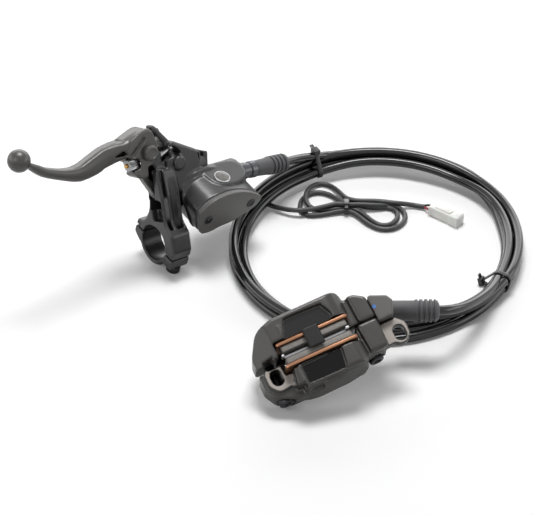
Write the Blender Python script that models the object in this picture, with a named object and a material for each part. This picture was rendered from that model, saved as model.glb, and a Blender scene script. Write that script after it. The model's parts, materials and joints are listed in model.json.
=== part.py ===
"""Hydraulic front brake for a light bicycle: lever and master cylinder, hose, four piston caliper, brake switch.

Lengths are in millimetres in the values and turn to metres where a mesh is made. The master cylinder has a frame of
its own: X along the handlebar towards the hose, Z from the bar up to the lever's pivot, origin on the bar's axis.
The caliper's frame has X along the pads, Y across the disc and Z out of the slot, origin between the pads' edges.
"""

import math

import bmesh
import bpy
import numpy as np
from mathutils import Euler, Matrix, Vector

MM = 0.001
GAP = 0.3

# Where the two housings lie on the floor, in the frame whose origin is below the middle of the pieces
FLOOR_SHIFT = (24.3, 39.4)
MASTER_AT = (-62.2, -3.2, 15.5)
MASTER_TURN = (-18.7, 7.6, 39.4)
CALIPER_AT = (27.0, -124.3, 36.9)
CALIPER_TURN = (27.5, -12.3, 22.3)

# Handlebar clamp
BAR_BORE = 22.2
CLAMP_WIDTH = 14.0
CLAMP_WALL = 2.9
SPLIT_TILT = 30.0
SPLIT_GAP = 0.9
CLAMP_BOLT = 5.0
BOLT_LINE = BAR_BORE / 2 + CLAMP_BOLT / 2 + 0.7
BOLT_SEAT = 7.2
BOLT_HEAD = (8.5, 5.0)
HINGE_PIN = 3.0
HINGE_LINE = BAR_BORE / 2 + CLAMP_WALL + 2.4

# Lever and its pivot
LEVER_Y = -4.0
PIVOT = (-10.0, 58.0)
PIVOT_PIN = 6.0
TONGUE_WIDTH = 10.0
CHEEK = 3.0
SIDE_PLAY = 0.4
BARREL = 6.0
BALL = (-91.9, 72.1)
BALL_RADIUS = 6.7
BLADE_DEPTH = 10.5
FINGER_WIDTH = 5.0
FINGER_TIP = (-1.3, 28.2)
FINGER_TIP_RADIUS = 3.0
LEVER_TRAVEL = 18.0
KNOB_AT = (-17.0, -7.0, 52.4)
KNOB_RADIUS = 3.7
KNOB_LENGTH = 6.0

# Master cylinder
BORE_Z = 28.2
BORE = 11.0
BORE_START = 11.5
BORE_END = 52.0
CASTING_RADIUS = 9.5
CASTING_END = 57.0
NECK_BACK = 1.9
NECK_FRONT = -14.5
OUTLET_DROP = 4.5
NUT_RADIUS = 5.6
NUT_LENGTH = 10.8
HOSE = 5.6
BOOT_RADIUS = 6.0
BOOT_LENGTH = 25.6

# Fluid reservoir
COVER_AT = (36.0, -26.0, 13.0)
COVER_TILT = 30.7
COVER_THICKNESS = 2.4
GASKET = 1.0
SHELL_DEPTH = 24.0
SHELL_WALL = 2.4
SHELL_CORNERS = [
    (-27.2, 4.8, 3.0), (-20.4, 14.0, 13.0), (-5.0, 15.2, 24.0), (12.0, 10.6, 20.0), (22.2, 3.2, 2.0),
    (14.0, -5.2, 18.0), (-4.0, -10.6, 10.0), (-13.0, -12.9, 6.0), (-22.6, -12.4, 3.0),
]
DECK = 15.2
SIGHT_AT = (-2.3, -14.6)
SIGHT_RADIUS = 5.6
COVER_SCREWS = ((-18.8, -1.4), (12.9, 1.4))

# Caliper
PAD_LENGTH = 43.4
PAD_DEPTH = 21.0
PLATE = 2.0
LINING = 3.7
DISC_GAP = 3.6
DISC_RADIUS = 92.0
DISC_RIM = -3.4
CALIPER_DEPTH = 26.0
PISTON = 16.0
PISTON_SPREAD = 11.8
PISTON_Z = -13.4
PISTON_LENGTH = 9.0
SEAL_SECTION = 1.6
TAB_TOP = -8.5
TAB_THICKNESS = 5.0
TAB_SLOT = (6.4, 9.2)
LEFT_SLOT = (-27.2, -7.8)
RIGHT_SLOT = (44.6, -12.6)
CALIPER_BOOT_AT = (49.1, 4.7, -21.0)
CALIPER_BOOT_RADIUS = 6.75
CALIPER_BOOT_LENGTH = 26.5
BODY_BOLT = 5.0
BODY_BOLTS = {"left": (-27.0, -17.0), "right": (28.0, -15.5)}
BODY_BOLT_Z = -18.6
BLEED_AT = (14.0, -22.6)
CROWN = [(11.0, 0.2), (15.5, -0.5), (19.0, -2.0), (22.2, -4.8), (24.0, -8.4), (24.4, -11.0)]
INLET_CORNERS = [(36.3, -3.2, 0.5), (36.3, 13.4, 1.5), (46.8, 8.6, 1.5), (48.5, 4.9, 0.5), (45.2, -3.2, 1.0)]

# Hose coil and cable
COIL_AT = (65.7, 10.1)
COIL_RADII = (82.6, 91.2)
COIL_TURN = -16.8
COIL_WIDTH = 2 * HOSE + 0.6
COIL_HEIGHT = 2 * HOSE + 0.6
TIE_WIDTH = 3.6
TIE_BAND = 1.1
TIE_ANGLES = (132.5, -12.5)
CABLE = 2.8
WIRE = 1.5
HANK_HEIGHT = 2 * CABLE
CONNECTOR = (22.4, 8.0, 6.5)
CONNECTOR_AT = (111.7, 40.1)
CONNECTOR_TURN = -39.4

X, Y, Z = Vector((1, 0, 0)), Vector((0, 1, 0)), Vector((0, 0, 1))
unsettled = []


def clear_scene():
    for thing in list(bpy.data.objects):
        bpy.data.objects.remove(thing, do_unlink=True)


def finish(name, colour, rough, metal):
    """Principled material of a base colour in linear light, a roughness and a metallic value."""
    made = bpy.data.materials.new(name)
    made.use_nodes = True
    shader = made.node_tree.nodes["Principled BSDF"]
    shader.inputs["Base Color"].default_value = (*colour, 1.0)
    shader.inputs["Roughness"].default_value = rough
    shader.inputs["Metallic"].default_value = metal
    made.diffuse_color = (*colour, 1.0)
    return made


def frame_of(name, at, turn, parent=None):
    """An empty that carries the pieces of one housing."""
    empty = bpy.data.objects.new(name, None)
    bpy.context.collection.objects.link(empty)
    empty.location = Vector(at) * MM
    empty.rotation_euler = Euler([math.radians(a) for a in turn])
    empty.parent = parent
    return empty


def rounded(corners, steps=2):
    """Closed outline through corners (u, v, radius), each rounded by an arc of its radius."""
    points = []
    count = len(corners)
    for i, (u, v, radius) in enumerate(corners):
        corner = Vector((u, v))
        back = Vector(corners[i - 1][:2]) - corner
        ahead = Vector(corners[(i + 1) % count][:2]) - corner
        if radius <= 0:
            points.append(corner)
            continue
        half = back.angle(ahead) / 2
        reach = min(radius / math.tan(half), 0.49 * back.length, 0.49 * ahead.length)
        radius = reach * math.tan(half)
        middle = corner + (back.normalized() + ahead.normalized()).normalized() * (radius / math.sin(half))
        start = corner + back.normalized() * reach - middle
        turn = math.pi - 2 * half
        side = 1 if back.x * ahead.y - back.y * ahead.x < 0 else -1
        for k in range(steps + 1):
            a = side * turn * k / steps
            swung = Vector((start.x * math.cos(a) - start.y * math.sin(a), start.x * math.sin(a) + start.y * math.cos(a)))
            points.append(middle + swung)
    return points


def arc(middle, radius, start, end, steps):
    """Points on a circle from one angle in degrees to another."""
    angles = np.radians(np.linspace(start, end, steps + 1))
    return [Vector((middle[0] + radius * math.cos(a), middle[1] + radius * math.sin(a))) for a in angles]


def inset(outline, amount):
    """The outline moved inwards along the bisector of each corner."""
    area = sum(outline[i - 1].x * outline[i].y - outline[i].x * outline[i - 1].y for i in range(len(outline)))
    side = 1 if area > 0 else -1
    moved = []
    for i, point in enumerate(outline):
        before = (point - outline[i - 1]).normalized()
        after = (outline[(i + 1) % len(outline)] - point).normalized()
        normal = Vector((-(before.y + after.y), before.x + after.x)).normalized() * side
        spread = max(0.3, math.sqrt(max(0.0, (1 + before.dot(after)) / 2)))
        moved.append(point + normal * (amount / spread))
    return moved


def widest_rim(outline, edge):
    """The rim asked for, or the widest that the outline's tightest corner has room for."""
    while edge > 0.1:
        moved = inset(outline, edge)
        if all((moved[i] - moved[i - 1]).dot(outline[i] - outline[i - 1]) > 0 for i in range(len(outline))):
            return edge
        edge *= 0.8
    return 0.0


def shrunk(corners, amount):
    """Corners moved inwards by amount, with their radii made smaller to match."""
    moved = inset([Vector(c[:2]) for c in corners], amount)
    return rounded([(p.x, p.y, max(c[2] - amount, 0.4)) for p, c in zip(moved, corners)])


def skin(rings, closed_ends=True):
    """Closed solid over a row of rings that have the same number of points."""
    bm = bmesh.new()
    rows = [[bm.verts.new(p) for p in ring] for ring in rings]
    count = len(rows[0])
    for low, high in zip(rows, rows[1:]):
        for i in range(count):
            j = (i + 1) % count
            bm.faces.new((low[i], low[j], high[j], high[i]))
    if closed_ends:
        bm.faces.new(rows[0])
        bm.faces.new(rows[-1])
    bmesh.ops.recalc_face_normals(bm, faces=bm.faces)
    return bm


def prism(outline, lo, hi, edge=0.0, at=(0, 0, 0), axes=(X, Y, Z), steps=1):
    """Outline carried along the third axis from lo to hi, with both rims rounded by edge."""
    u, v, w = axes
    at = Vector(at)
    levels = [(0.0, lo), (0.0, hi)]
    edge = widest_rim(outline, edge)
    if edge > 0:
        angles = [math.pi / 2 * k / steps for k in range(steps + 1)]
        low = [(edge * (1 - math.sin(a)), lo + edge * (1 - math.cos(a))) for a in angles]
        levels = low + [(amount, lo + hi - level) for amount, level in reversed(low)]
    rings = []
    for amount, level in levels:
        ring = inset(outline, amount) if amount > 0 else outline
        rings.append([at + u * p.x + v * p.y + w * level for p in ring])
    return skin(rings)


def turned(profile, at, axis, sides=24):
    """Profile of (radius, distance along the axis) spun once round the axis."""
    axis = Vector(axis).normalized()
    across = axis.orthogonal().normalized()
    at = Vector(at)
    bm = bmesh.new()
    row = [bm.verts.new(at + across * r + axis * h) for r, h in profile]
    edges = [bm.edges.new(pair) for pair in zip(row, row[1:])]
    bmesh.ops.spin(bm, geom=row + edges, cent=at, axis=axis, angle=2 * math.pi, steps=sides, use_merge=True)
    bmesh.ops.remove_doubles(bm, verts=bm.verts, dist=1e-4)
    bmesh.ops.recalc_face_normals(bm, faces=bm.faces)
    return bm


def rod(at, axis, radius, lo, hi, edge=0.0, sides=24):
    """Round bar with chamfered ends."""
    profile = [(0, lo), (radius - edge, lo), (radius, lo + edge), (radius, hi - edge), (radius - edge, hi), (0, hi)]
    if edge <= 0:
        profile = [(0, lo), (radius, lo), (radius, hi), (0, hi)]
    return turned(profile, at, axis, sides)


def ring(at, axis, inner, outer, lo, hi, sides=24):
    """Plain ring of rectangular section."""
    profile = [(inner, lo), (outer, lo), (outer, hi), (inner, hi), (inner, lo)]
    return turned(profile, at, axis, sides)


def box(lo, hi, at=(0, 0, 0), axes=(X, Y, Z)):
    outline = [Vector(p) for p in ((lo[0], lo[1]), (hi[0], lo[1]), (hi[0], hi[1]), (lo[0], hi[1]))]
    return prism(outline, lo[2], hi[2], at=at, axes=axes)


def solid(name, bm):
    """Object made from a mesh drawn in millimetres."""
    mesh = bpy.data.meshes.new(name)
    bmesh.ops.scale(bm, vec=(MM, MM, MM), verts=bm.verts)
    bm.to_mesh(mesh)
    bm.free()
    made = bpy.data.objects.new(name, mesh)
    bpy.context.collection.objects.link(made)
    return made


def piece(name, bm, frame, material, origin=(0, 0, 0)):
    """A real sub-part, shaped in its housing's coordinates before settle puts it into its frame."""
    made = solid(name, bm)
    made.data.materials.append(material)
    unsettled.append((made, frame, Vector(origin) * MM))
    return made


def thin(mesh):
    """Merge flat neighbours of a mesh and cut it into triangles, with the widest angle that keeps it closed."""
    for angle in (1.5, 0.6, 0.2, 0.05, 0.0):
        flat = bmesh.new()
        flat.from_mesh(mesh)
        bmesh.ops.dissolve_limit(flat, angle_limit=math.radians(angle), verts=flat.verts, edges=flat.edges)
        bmesh.ops.triangulate(flat, faces=flat.faces)
        closed = all(len(edge.link_faces) == 2 for edge in flat.edges)
        if closed:
            flat.to_mesh(mesh)
        flat.free()
        if closed:
            return


def settle(smooth=40):
    """Parent each piece to its frame, with its own origin where the frame's is, and shade it."""
    for made, frame, origin in unsettled:
        thin(made.data)
        made.data.transform(Matrix.Translation(-origin))
        made.data.shade_smooth()
        made.data.set_sharp_from_angle(angle=math.radians(smooth))
        made.parent = frame
    unsettled.clear()


def combine(target, bm, operation):
    """Boolean of a piece with a tool solid; the result takes the place of the piece's mesh."""
    tool = solid("tool", bm)
    modifier = target.modifiers.new(operation, "BOOLEAN")
    modifier.operation = operation
    modifier.object = tool
    done = target.evaluated_get(bpy.context.evaluated_depsgraph_get())
    shaped = bpy.data.meshes.new_from_object(done)
    flat = bmesh.new()
    flat.from_mesh(shaped)
    bmesh.ops.triangulate(flat, faces=[f for f in flat.faces if len(f.verts) > 4])
    flat.to_mesh(shaped)
    flat.free()
    target.modifiers.remove(modifier)
    old = target.data
    target.data = shaped
    shaped.name = target.name
    bpy.data.meshes.remove(old)
    waste = tool.data
    bpy.data.objects.remove(tool, do_unlink=True)
    bpy.data.meshes.remove(waste)


def add(target, bm):
    combine(target, bm, "UNION")


def cut(target, bm):
    combine(target, bm, "DIFFERENCE")


def smooth_path(points, spacing):
    """Points at an even spacing on a Catmull-Rom curve through the route's own points."""
    p = np.array(points, float)
    p = np.vstack([2 * p[0] - p[1], p, 2 * p[-1] - p[-2]])
    dense = []
    for a, b, c, d in zip(p, p[1:], p[2:], p[3:]):
        t = np.linspace(0, 1, 24, endpoint=False)[:, None]
        dense.append(0.5 * (2 * b + (c - a) * t + (2 * a - 5 * b + 4 * c - d) * t**2 + (3 * b - a - 3 * c + d) * t**3))
    dense = np.vstack(dense + [p[-2:-1]])
    along = np.concatenate([[0], np.cumsum(np.linalg.norm(np.diff(dense, axis=0), axis=1))])
    stops = np.linspace(0, along[-1], max(2, int(round(along[-1] / spacing)) + 1))
    return np.stack([np.interp(stops, along, dense[:, k]) for k in range(3)], 1)


def cord(name, points, diameter, frame, material, spacing=None):
    """Plain tube of a cord along its route, as a bevelled curve with filled ends."""
    curve = bpy.data.curves.new(name, "CURVE")
    curve.dimensions = "3D"
    curve.bevel_depth = diameter / 2 * MM
    curve.bevel_resolution = 1 if diameter < 2 else 2
    curve.use_fill_caps = True
    route = smooth_path(points, spacing or 2.5 * diameter) * MM
    spline = curve.splines.new("POLY")
    spline.points.add(len(route) - 1)
    for point, at in zip(spline.points, route):
        point.co = (*at, 1.0)
    made = bpy.data.objects.new(name, curve)
    bpy.context.collection.objects.link(made)
    made.parent = frame
    curve.materials.append(material)
    return made


def split_axes():
    """Directions in the bar's cross-section: along the clamp's split, and out through the clamp's cap."""
    tilt = math.radians(SPLIT_TILT)
    return Vector((0, math.cos(tilt), math.sin(tilt))), Vector((0, math.sin(tilt), -math.cos(tilt)))


def clamp_axes():
    """Axes for outlines drawn in the bar's cross-section, which run out along the bar."""
    return (Y, Z, X)


def neck_outline():
    """Upper half of the bar clamp, the hinge knuckle, the bolt lug and the neck that rises from them."""
    outer = BAR_BORE / 2 + CLAMP_WALL
    along, out = split_axes()
    hinge = along * HINGE_LINE
    lug = along * -(BOLT_LINE + 4.8)
    corners = [
        (-out.y * SPLIT_GAP / 2, -out.z * SPLIT_GAP / 2, 0),
        ((along * (HINGE_LINE + 2.6) - out * SPLIT_GAP / 2).y, (along * (HINGE_LINE + 2.6) - out * SPLIT_GAP / 2).z, 1.0),
        ((along * (HINGE_LINE + 2.2) - out * 5.0).y, (along * (HINGE_LINE + 2.2) - out * 5.0).z, 2.0),
        (hinge.y - 4.5, hinge.z + 4.6, 3.0),
        (outer * 0.45, outer * 1.0, 4.0),
        (NECK_BACK - 1.6, 21.0, 6.0),
        (NECK_BACK - 1.9, 31.0, 4.0),
        (NECK_BACK, 39.5, 3.0),
        (NECK_BACK, 46.0, 1.0),
        (NECK_FRONT + 2.0, 46.0, 2.0),
        (NECK_FRONT, 30.0, 8.0),
        (NECK_FRONT, 13.5, 4.0),
        (lug.y - 3.0, 6.5, 3.0),
        ((lug - out * 6.0).y, (lug - out * 6.0).z, 2.0),
        ((lug - out * SPLIT_GAP / 2).y, (lug - out * SPLIT_GAP / 2).z, 1.0),
    ]
    return rounded(corners)


def cap_outline():
    """Lower half of the bar clamp with its hinge ear and the lug under the bolt's head."""
    outer = BAR_BORE / 2 + CLAMP_WALL
    along, out = split_axes()
    def at(a, o, radius):
        point = along * a + out * o
        return (point.y, point.z, radius)
    corners = [
        at(0, SPLIT_GAP / 2, 0),
        at(-(BOLT_LINE + 4.8), SPLIT_GAP / 2, 1.0),
        at(-(BOLT_LINE + 4.4), BOLT_SEAT, 1.5),
        at(-(BOLT_LINE - 4.0), BOLT_SEAT, 1.0),
    ]
    points = rounded(corners)
    middle = math.degrees(math.atan2(out.z, out.y))
    points += arc((0, 0), outer, middle - 42, middle + 52, 12)
    ear = [at(HINGE_LINE - 3.0, 8.0, 2.0), at(HINGE_LINE + 2.4, 5.0, 2.5), at(HINGE_LINE + 2.6, SPLIT_GAP / 2, 1.0)]
    start = points[-1]
    tail = rounded([(start.x, start.y, 0), *ear, at(0, SPLIT_GAP / 2, 0)])
    return points + tail[1:-1]


def bar_hole(extra=0.0):
    return rod((0, 0, 0), X, BAR_BORE / 2 + extra, -CLAMP_WIDTH, CLAMP_WIDTH, sides=32)


def lever_plane():
    """Axes for outlines drawn in the lever's plane, which run out across it."""
    return (X, Z, Y)


def master_body(frame, material):
    half = CLAMP_WIDTH / 2
    along, out = split_axes()
    body = piece("master_body", prism(neck_outline(), -half, half, 0.9, axes=clamp_axes()), frame, material)
    front, back = LEVER_Y - TONGUE_WIDTH / 2, LEVER_Y + TONGUE_WIDTH / 2
    casing = [
        (2.0, 18.5, 2.0), (2.0, 48.0, 1.0), (2.5, 56.5, 1.0), (7.2, 61.4, 2.5), (25.3, 51.6, 2.0),
        (26.5, 38.0, 2.0), (40.0, 34.0, 4.0), (40.0, 18.5, 4.0),
    ]
    add(body, prism(rounded(casing), NECK_FRONT + 2.2, back + 2.5, 1.2, axes=lever_plane()))
    stem = [
        (3.0, 33.0, 1.0), (-3.8, 36.0, 1.0), (-3.8, 45.0, 1.5), (-7.0, 51.5, 1.0),
        (PIVOT[0] + 1.0, PIVOT[1] + 4.5, 1.0), (0.5, 56.0, 1.0), (6.0, 50.0, 1.0),
    ]
    add(body, prism(rounded(stem), front, back, 0.5, axes=lever_plane()))
    add(body, rod((PIVOT[0], 0, PIVOT[1]), Y, BARREL, front + 0.5, back - 0.5, 0.4))
    arm = [
        (5.0, 54.0, 1.0), (1.8, 56.0, 1.0), (4.2, 59.6, 1.5), (-0.4, 64.8, 2.0), (-2.4, 67.6, 1.0), (-4.6, 68.8, 0.6),
        (-5.0, 71.6, 0.8), (-3.0, 72.8, 1.6), (-0.8, 71.2, 2.0), (7.6, 61.0, 2.0), (12.0, 55.0, 1.0),
    ]
    add(body, prism(rounded(arm), front, back - 1.0, 0.8, axes=lever_plane()))
    add(body, rod((9.4, 0, 47.5), Y, 4.3, -15.4, -10.0, 0.6))
    add(body, rod((0, LEVER_Y, BORE_Z), X, CASTING_RADIUS, 10.0, CASTING_END, 1.0, sides=24))
    drop = outlet_axis()
    add(body, turned([(0, -6), (7.2, -6), (7.2, -1.0), (6.0, 3.4), (0, 3.4)], outlet_at(), drop))
    add(body, prism(shell_outline(), -SHELL_DEPTH, -COVER_THICKNESS - GASKET - 2 * GAP, 0.5, COVER_AT, cover_axes()))
    add(body, prism(shell_outline(-1.4), -SHELL_DEPTH - 4, -SHELL_DEPTH + 1.2, 0.8, COVER_AT, cover_axes()))
    add(body, prism(deck_outline(), 2.0, DECK, 0.7, COVER_AT, deck_axes()))
    cut(body, prism(shell_outline(SHELL_WALL), -SHELL_DEPTH + 4, 2.0, 0.0, COVER_AT, cover_axes()))
    for u, v in COVER_SCREWS:
        add(body, rod(cover_point(u, v, 0), cover_axes()[2], 3.1, -SHELL_DEPTH + 3.0, -COVER_THICKNESS - GASKET - 2 * GAP))
        cut(body, rod(cover_point(u, v, 0), cover_axes()[2], 1.6 + GAP, -12.0, 0.0))
    cut(body, bar_hole())
    cut(body, box((-8.5, LEVER_Y - FINGER_WIDTH / 2 - 1.0, 20.5), (BORE_START, LEVER_Y + FINGER_WIDTH / 2 + 1.0, 50.5)))
    cut(body, rod((PIVOT[0], 0, PIVOT[1]), Y, PIVOT_PIN / 2 + 1.2 + GAP, -20, 12))
    cut(body, rod((0, LEVER_Y, BORE_Z), X, BORE / 2 + GAP, 1.0, BORE_END, sides=24))
    cut(body, rod((0, LEVER_Y, BORE_Z), X, 2.6, BORE_END - 1, BORE_END + 2.5, sides=16))
    cut(body, rod(outlet_at(), drop, 1.6, -4.0, 6.0, sides=16))
    cut(body, rod(tuple(along * -BOLT_LINE), out, CLAMP_BOLT / 2 + GAP, -9.0, 3.0))
    cut(body, rod(tuple(along * HINGE_LINE - out * 2.4), X, HINGE_PIN / 2 + GAP, -9.0, 9.0))
    cut(body, rod(deck_point(*SIGHT_AT, 0), deck_axes()[2], SIGHT_RADIUS - 1.2, 4.0, DECK + 2))
    cut(body, rod(deck_point(*SIGHT_AT, 0), deck_axes()[2], SIGHT_RADIUS + GAP, DECK - 1.9, DECK + 2))
    cut(body, plunger_solid(GAP, 14.0))
    cut(body, switch_solid(GAP))
    cut(body, stop_screw_solid(GAP))
    return body


def plunger_frame():
    """Start and direction of the switch's plunger, which slopes up and back from the lever's barrel."""
    slope = math.radians(24.0)
    return Vector((1.6, LEVER_Y, 51.9)), Vector((math.cos(slope), 0, math.sin(slope)))


def plunger_solid(extra=0.0, length=8.6):
    at, axis = plunger_frame()
    return rod(at, axis, 2.4 + extra, -2.5 if extra else 0.0, length, 0.0 if extra else 0.4)


def switch_solid(extra=0.0):
    """Housing of the brake switch, a stepped block sunk in the top of the casting."""
    outline = [(25.8, 37.0, 0.6), (25.8, 49.8, 0.8), (33.4, 48.4, 0.8), (32.6, 40.0, 0.8), (34.5, 36.6, 0.6)]
    shape = inset(rounded(outline, 3), -extra) if extra else rounded(outline, 3)
    return prism(shape, LEVER_Y - 6.5 - extra, LEVER_Y + 6.0 + extra, 0.0 if extra else 0.5, axes=lever_plane())


def stop_screw_solid(extra=0.0):
    """Small screw that limits how far out the lever springs back."""
    axis = Vector((-1, 0, -0.55)).normalized()
    return rod((2.2, LEVER_Y, 67.0), axis, 1.5 + extra, -4.0 - extra, 5.4 + extra, 0.0 if extra else 0.3, sides=12)


def outlet_axis():
    drop = math.radians(OUTLET_DROP)
    return Vector((math.cos(drop), 0, -math.sin(drop)))


def outlet_at():
    return Vector((CASTING_END, LEVER_Y, BORE_Z))


def cover_axes():
    """Axes of the reservoir's cover: along it, up its face and out of it."""
    tilt = math.radians(COVER_TILT)
    return (X, Vector((0, -math.sin(tilt), math.cos(tilt))), Vector((0, -math.cos(tilt), -math.sin(tilt))))


def deck_axes():
    """Axes for outlines drawn on the reservoir's top: along it, towards the cover and up."""
    along, up, out = cover_axes()
    return (along, out, up)


def cover_point(u, v, w):
    along, up, out = cover_axes()
    return Vector(COVER_AT) + along * u + up * v + out * w


def deck_point(u, v, w):
    along, out, up = deck_axes()
    return Vector(COVER_AT) + along * u + out * v + up * w


def shell_outline(wall=0.0):
    """Outline of the reservoir and its cover, or of the room inside a wall: blunt at one end, pointed at the other."""
    return shrunk(SHELL_CORNERS, wall)


def deck_outline():
    """Raised platform round the sight glass."""
    return rounded([
        (-11.0, -25.0, 1.5), (-4.0, -28.2, 1.5), (12.6, -26.4, 2.0), (16.4, -21.5, 1.5), (14.5, -12.0, 4.0),
        (2.0, -6.8, 8.0), (-6.5, -7.4, 4.0), (-10.6, -13.0, 4.0),
    ])


def reservoir(frame, cover_finish, steel, rubber, glass):
    axes = cover_axes()
    cover = piece("reservoir_cover", prism(shell_outline(), -COVER_THICKNESS, 0, 0.5, COVER_AT, axes), frame, cover_finish)
    for u, v in COVER_SCREWS:
        cut(cover, rod(cover_point(u, v, 0), axes[2], 3.2 + GAP, -1.6, 1.0))
        cut(cover, rod(cover_point(u, v, 0), axes[2], 1.6 + GAP, -4.0, 1.0, sides=12))
    low = -COVER_THICKNESS - GAP - GASKET
    gasket = prism(shell_outline(), low, low + GASKET, 0.0, COVER_AT, axes)
    diaphragm = piece("reservoir_diaphragm", gasket, frame, rubber)
    bag = [(-13.6, -7.6, 2.0), (4.0, -3.4, 2.0), (7.2, 3.0, 2.0), (3.0, 9.6, 3.0), (-12.4, 10.4, 3.0)]
    add(diaphragm, prism(rounded(bag), low - 5.0, low + 0.5, 0.6, COVER_AT, axes))
    cut(diaphragm, prism(shrunk(bag, 1.2), low - 3.8, 4.0, 0.0, COVER_AT, axes))
    for u, v in COVER_SCREWS:
        cut(diaphragm, rod(cover_point(u, v, 0), axes[2], 1.6 + GAP, low - 1.0, 4.0, sides=12))
    for side, (u, v) in zip(("left", "right"), COVER_SCREWS):
        at = cover_point(u, v, 0)
        head = turned([(0, -11.0), (1.6, -11.0), (1.6, -1.3), (3.2, -1.3), (3.2, 0.1), (2.7, 0.5), (0, 0.5)], at, axes[2], 20)
        screw = piece("cover_screw_" + side, head, frame, steel)
        for turn in (0, 90):
            swung = Matrix.Rotation(math.radians(turn + 20), 3, axes[2])
            cut(screw, box((-1.9, -0.35, -0.7), (1.9, 0.35, 1.0), at, [swung @ a for a in axes]))
    at = deck_point(*SIGHT_AT, 0)
    up = deck_axes()[2]
    lip = [(SIGHT_RADIUS - 1.2, -1.5), (SIGHT_RADIUS, -1.5), (SIGHT_RADIUS, 0.4), (SIGHT_RADIUS - 0.4, 0.7),
           (SIGHT_RADIUS - 0.9, 0.7), (SIGHT_RADIUS - 1.2, 0.3), (SIGHT_RADIUS - 1.2, -1.5)]
    piece("sight_glass_bezel", turned(lip, at + up * DECK, up, 32), frame, steel)
    lens = [(0, -1.5), (SIGHT_RADIUS - 1.5, -1.5), (SIGHT_RADIUS - 1.5, 0.0), (2.0, 0.5), (0, 0.6)]
    piece("sight_glass_lens", turned(lens, at + up * DECK, up, 32), frame, glass)


def clamp(frame, black, steel):
    half = CLAMP_WIDTH / 2
    along, out = split_axes()
    cap = piece("clamp_cap", prism(cap_outline(), -half, half, 0.9, axes=clamp_axes()), frame, black)
    cut(cap, bar_hole())
    cut(cap, rod(tuple(along * -BOLT_LINE), out, CLAMP_BOLT / 2 + GAP, -3.0, 12.0))
    width, height = BOLT_HEAD
    profile = [
        (0, -8.4), (CLAMP_BOLT / 2, -8.4), (CLAMP_BOLT / 2, BOLT_SEAT + GAP), (width / 2, BOLT_SEAT + GAP),
        (width / 2, BOLT_SEAT + height - 0.5), (width / 2 - 0.5, BOLT_SEAT + height), (0, BOLT_SEAT + height),
    ]
    bolt = piece("clamp_bolt", turned(profile, along * -BOLT_LINE, out), frame, steel)
    hexagon = arc((0, 0), 2.3, 0, 300, 5)
    cut(bolt, prism(hexagon, BOLT_SEAT + 2.2, BOLT_SEAT + height + 1, 0, along * -BOLT_LINE, (X, along, out)))
    pin_at = along * HINGE_LINE - out * 2.4
    piece("clamp_hinge_pin", rod(pin_at, X, HINGE_PIN / 2, -half + 0.6, half - 0.6, 0.3, 16), frame, steel)


def blade_stations():
    """Places along the lever's blade: distance along X, top edge, lower edge and half depth."""
    half = BLADE_DEPTH / 2
    return [
        (-86.5, 69.6, 65.5, half - 2.2), (-80.5, 67.0, 60.5, half - 1.4), (-75.9, 64.4, 58.0, half - 1.0),
        (-66.2, 61.2, 54.2, half - 0.5), (-59.5, 60.2, 51.9, half), (-53.9, 60.8, 51.1, half),
        (-45.1, 64.0, 52.1, half), (-37.7, 66.8, 54.3, half), (-30.4, 67.9, 55.8, half + 0.4),
        (-23.2, 68.6, 56.8, half + 1.2), (-17.2, 70.8, 57.6, half + 2.2), (-11.9, 72.3, 58.4, half + 3.0),
        (-8.0, 72.3, 62.0, half + 3.0),
    ]


def lever_blade():
    """Blade lofted through its stations; each section has two facets that meet in a crest on either side."""
    rings = []
    for x, top, low, half in blade_stations():
        crest = low + 0.62 * (top - low)
        section = [
            (0.45, top), (1.0 - 0.55 / half, top - 0.9), (1.0, crest), (1.0 - 0.7 / half, low + 1.2), (0.4, low),
            (-0.4, low), (-1.0 + 0.7 / half, low + 1.2), (-1.0, crest), (-1.0 + 0.55 / half, top - 0.9), (-0.45, top),
        ]
        rings.append([Vector((x, LEVER_Y + part * half, z)) for part, z in section])
    return skin(rings)


def lever_ball():
    """Ball at the blade's end, with a small flat where it meets the blade."""
    profile = [(0, -BALL_RADIUS)]
    profile += [(p.x, p.y) for p in arc((0, 0), BALL_RADIUS, -78, 78, 9)]
    profile += [(0, BALL_RADIUS)]
    return turned(profile, (BALL[0], LEVER_Y, BALL[1]), X, 20)


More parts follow.
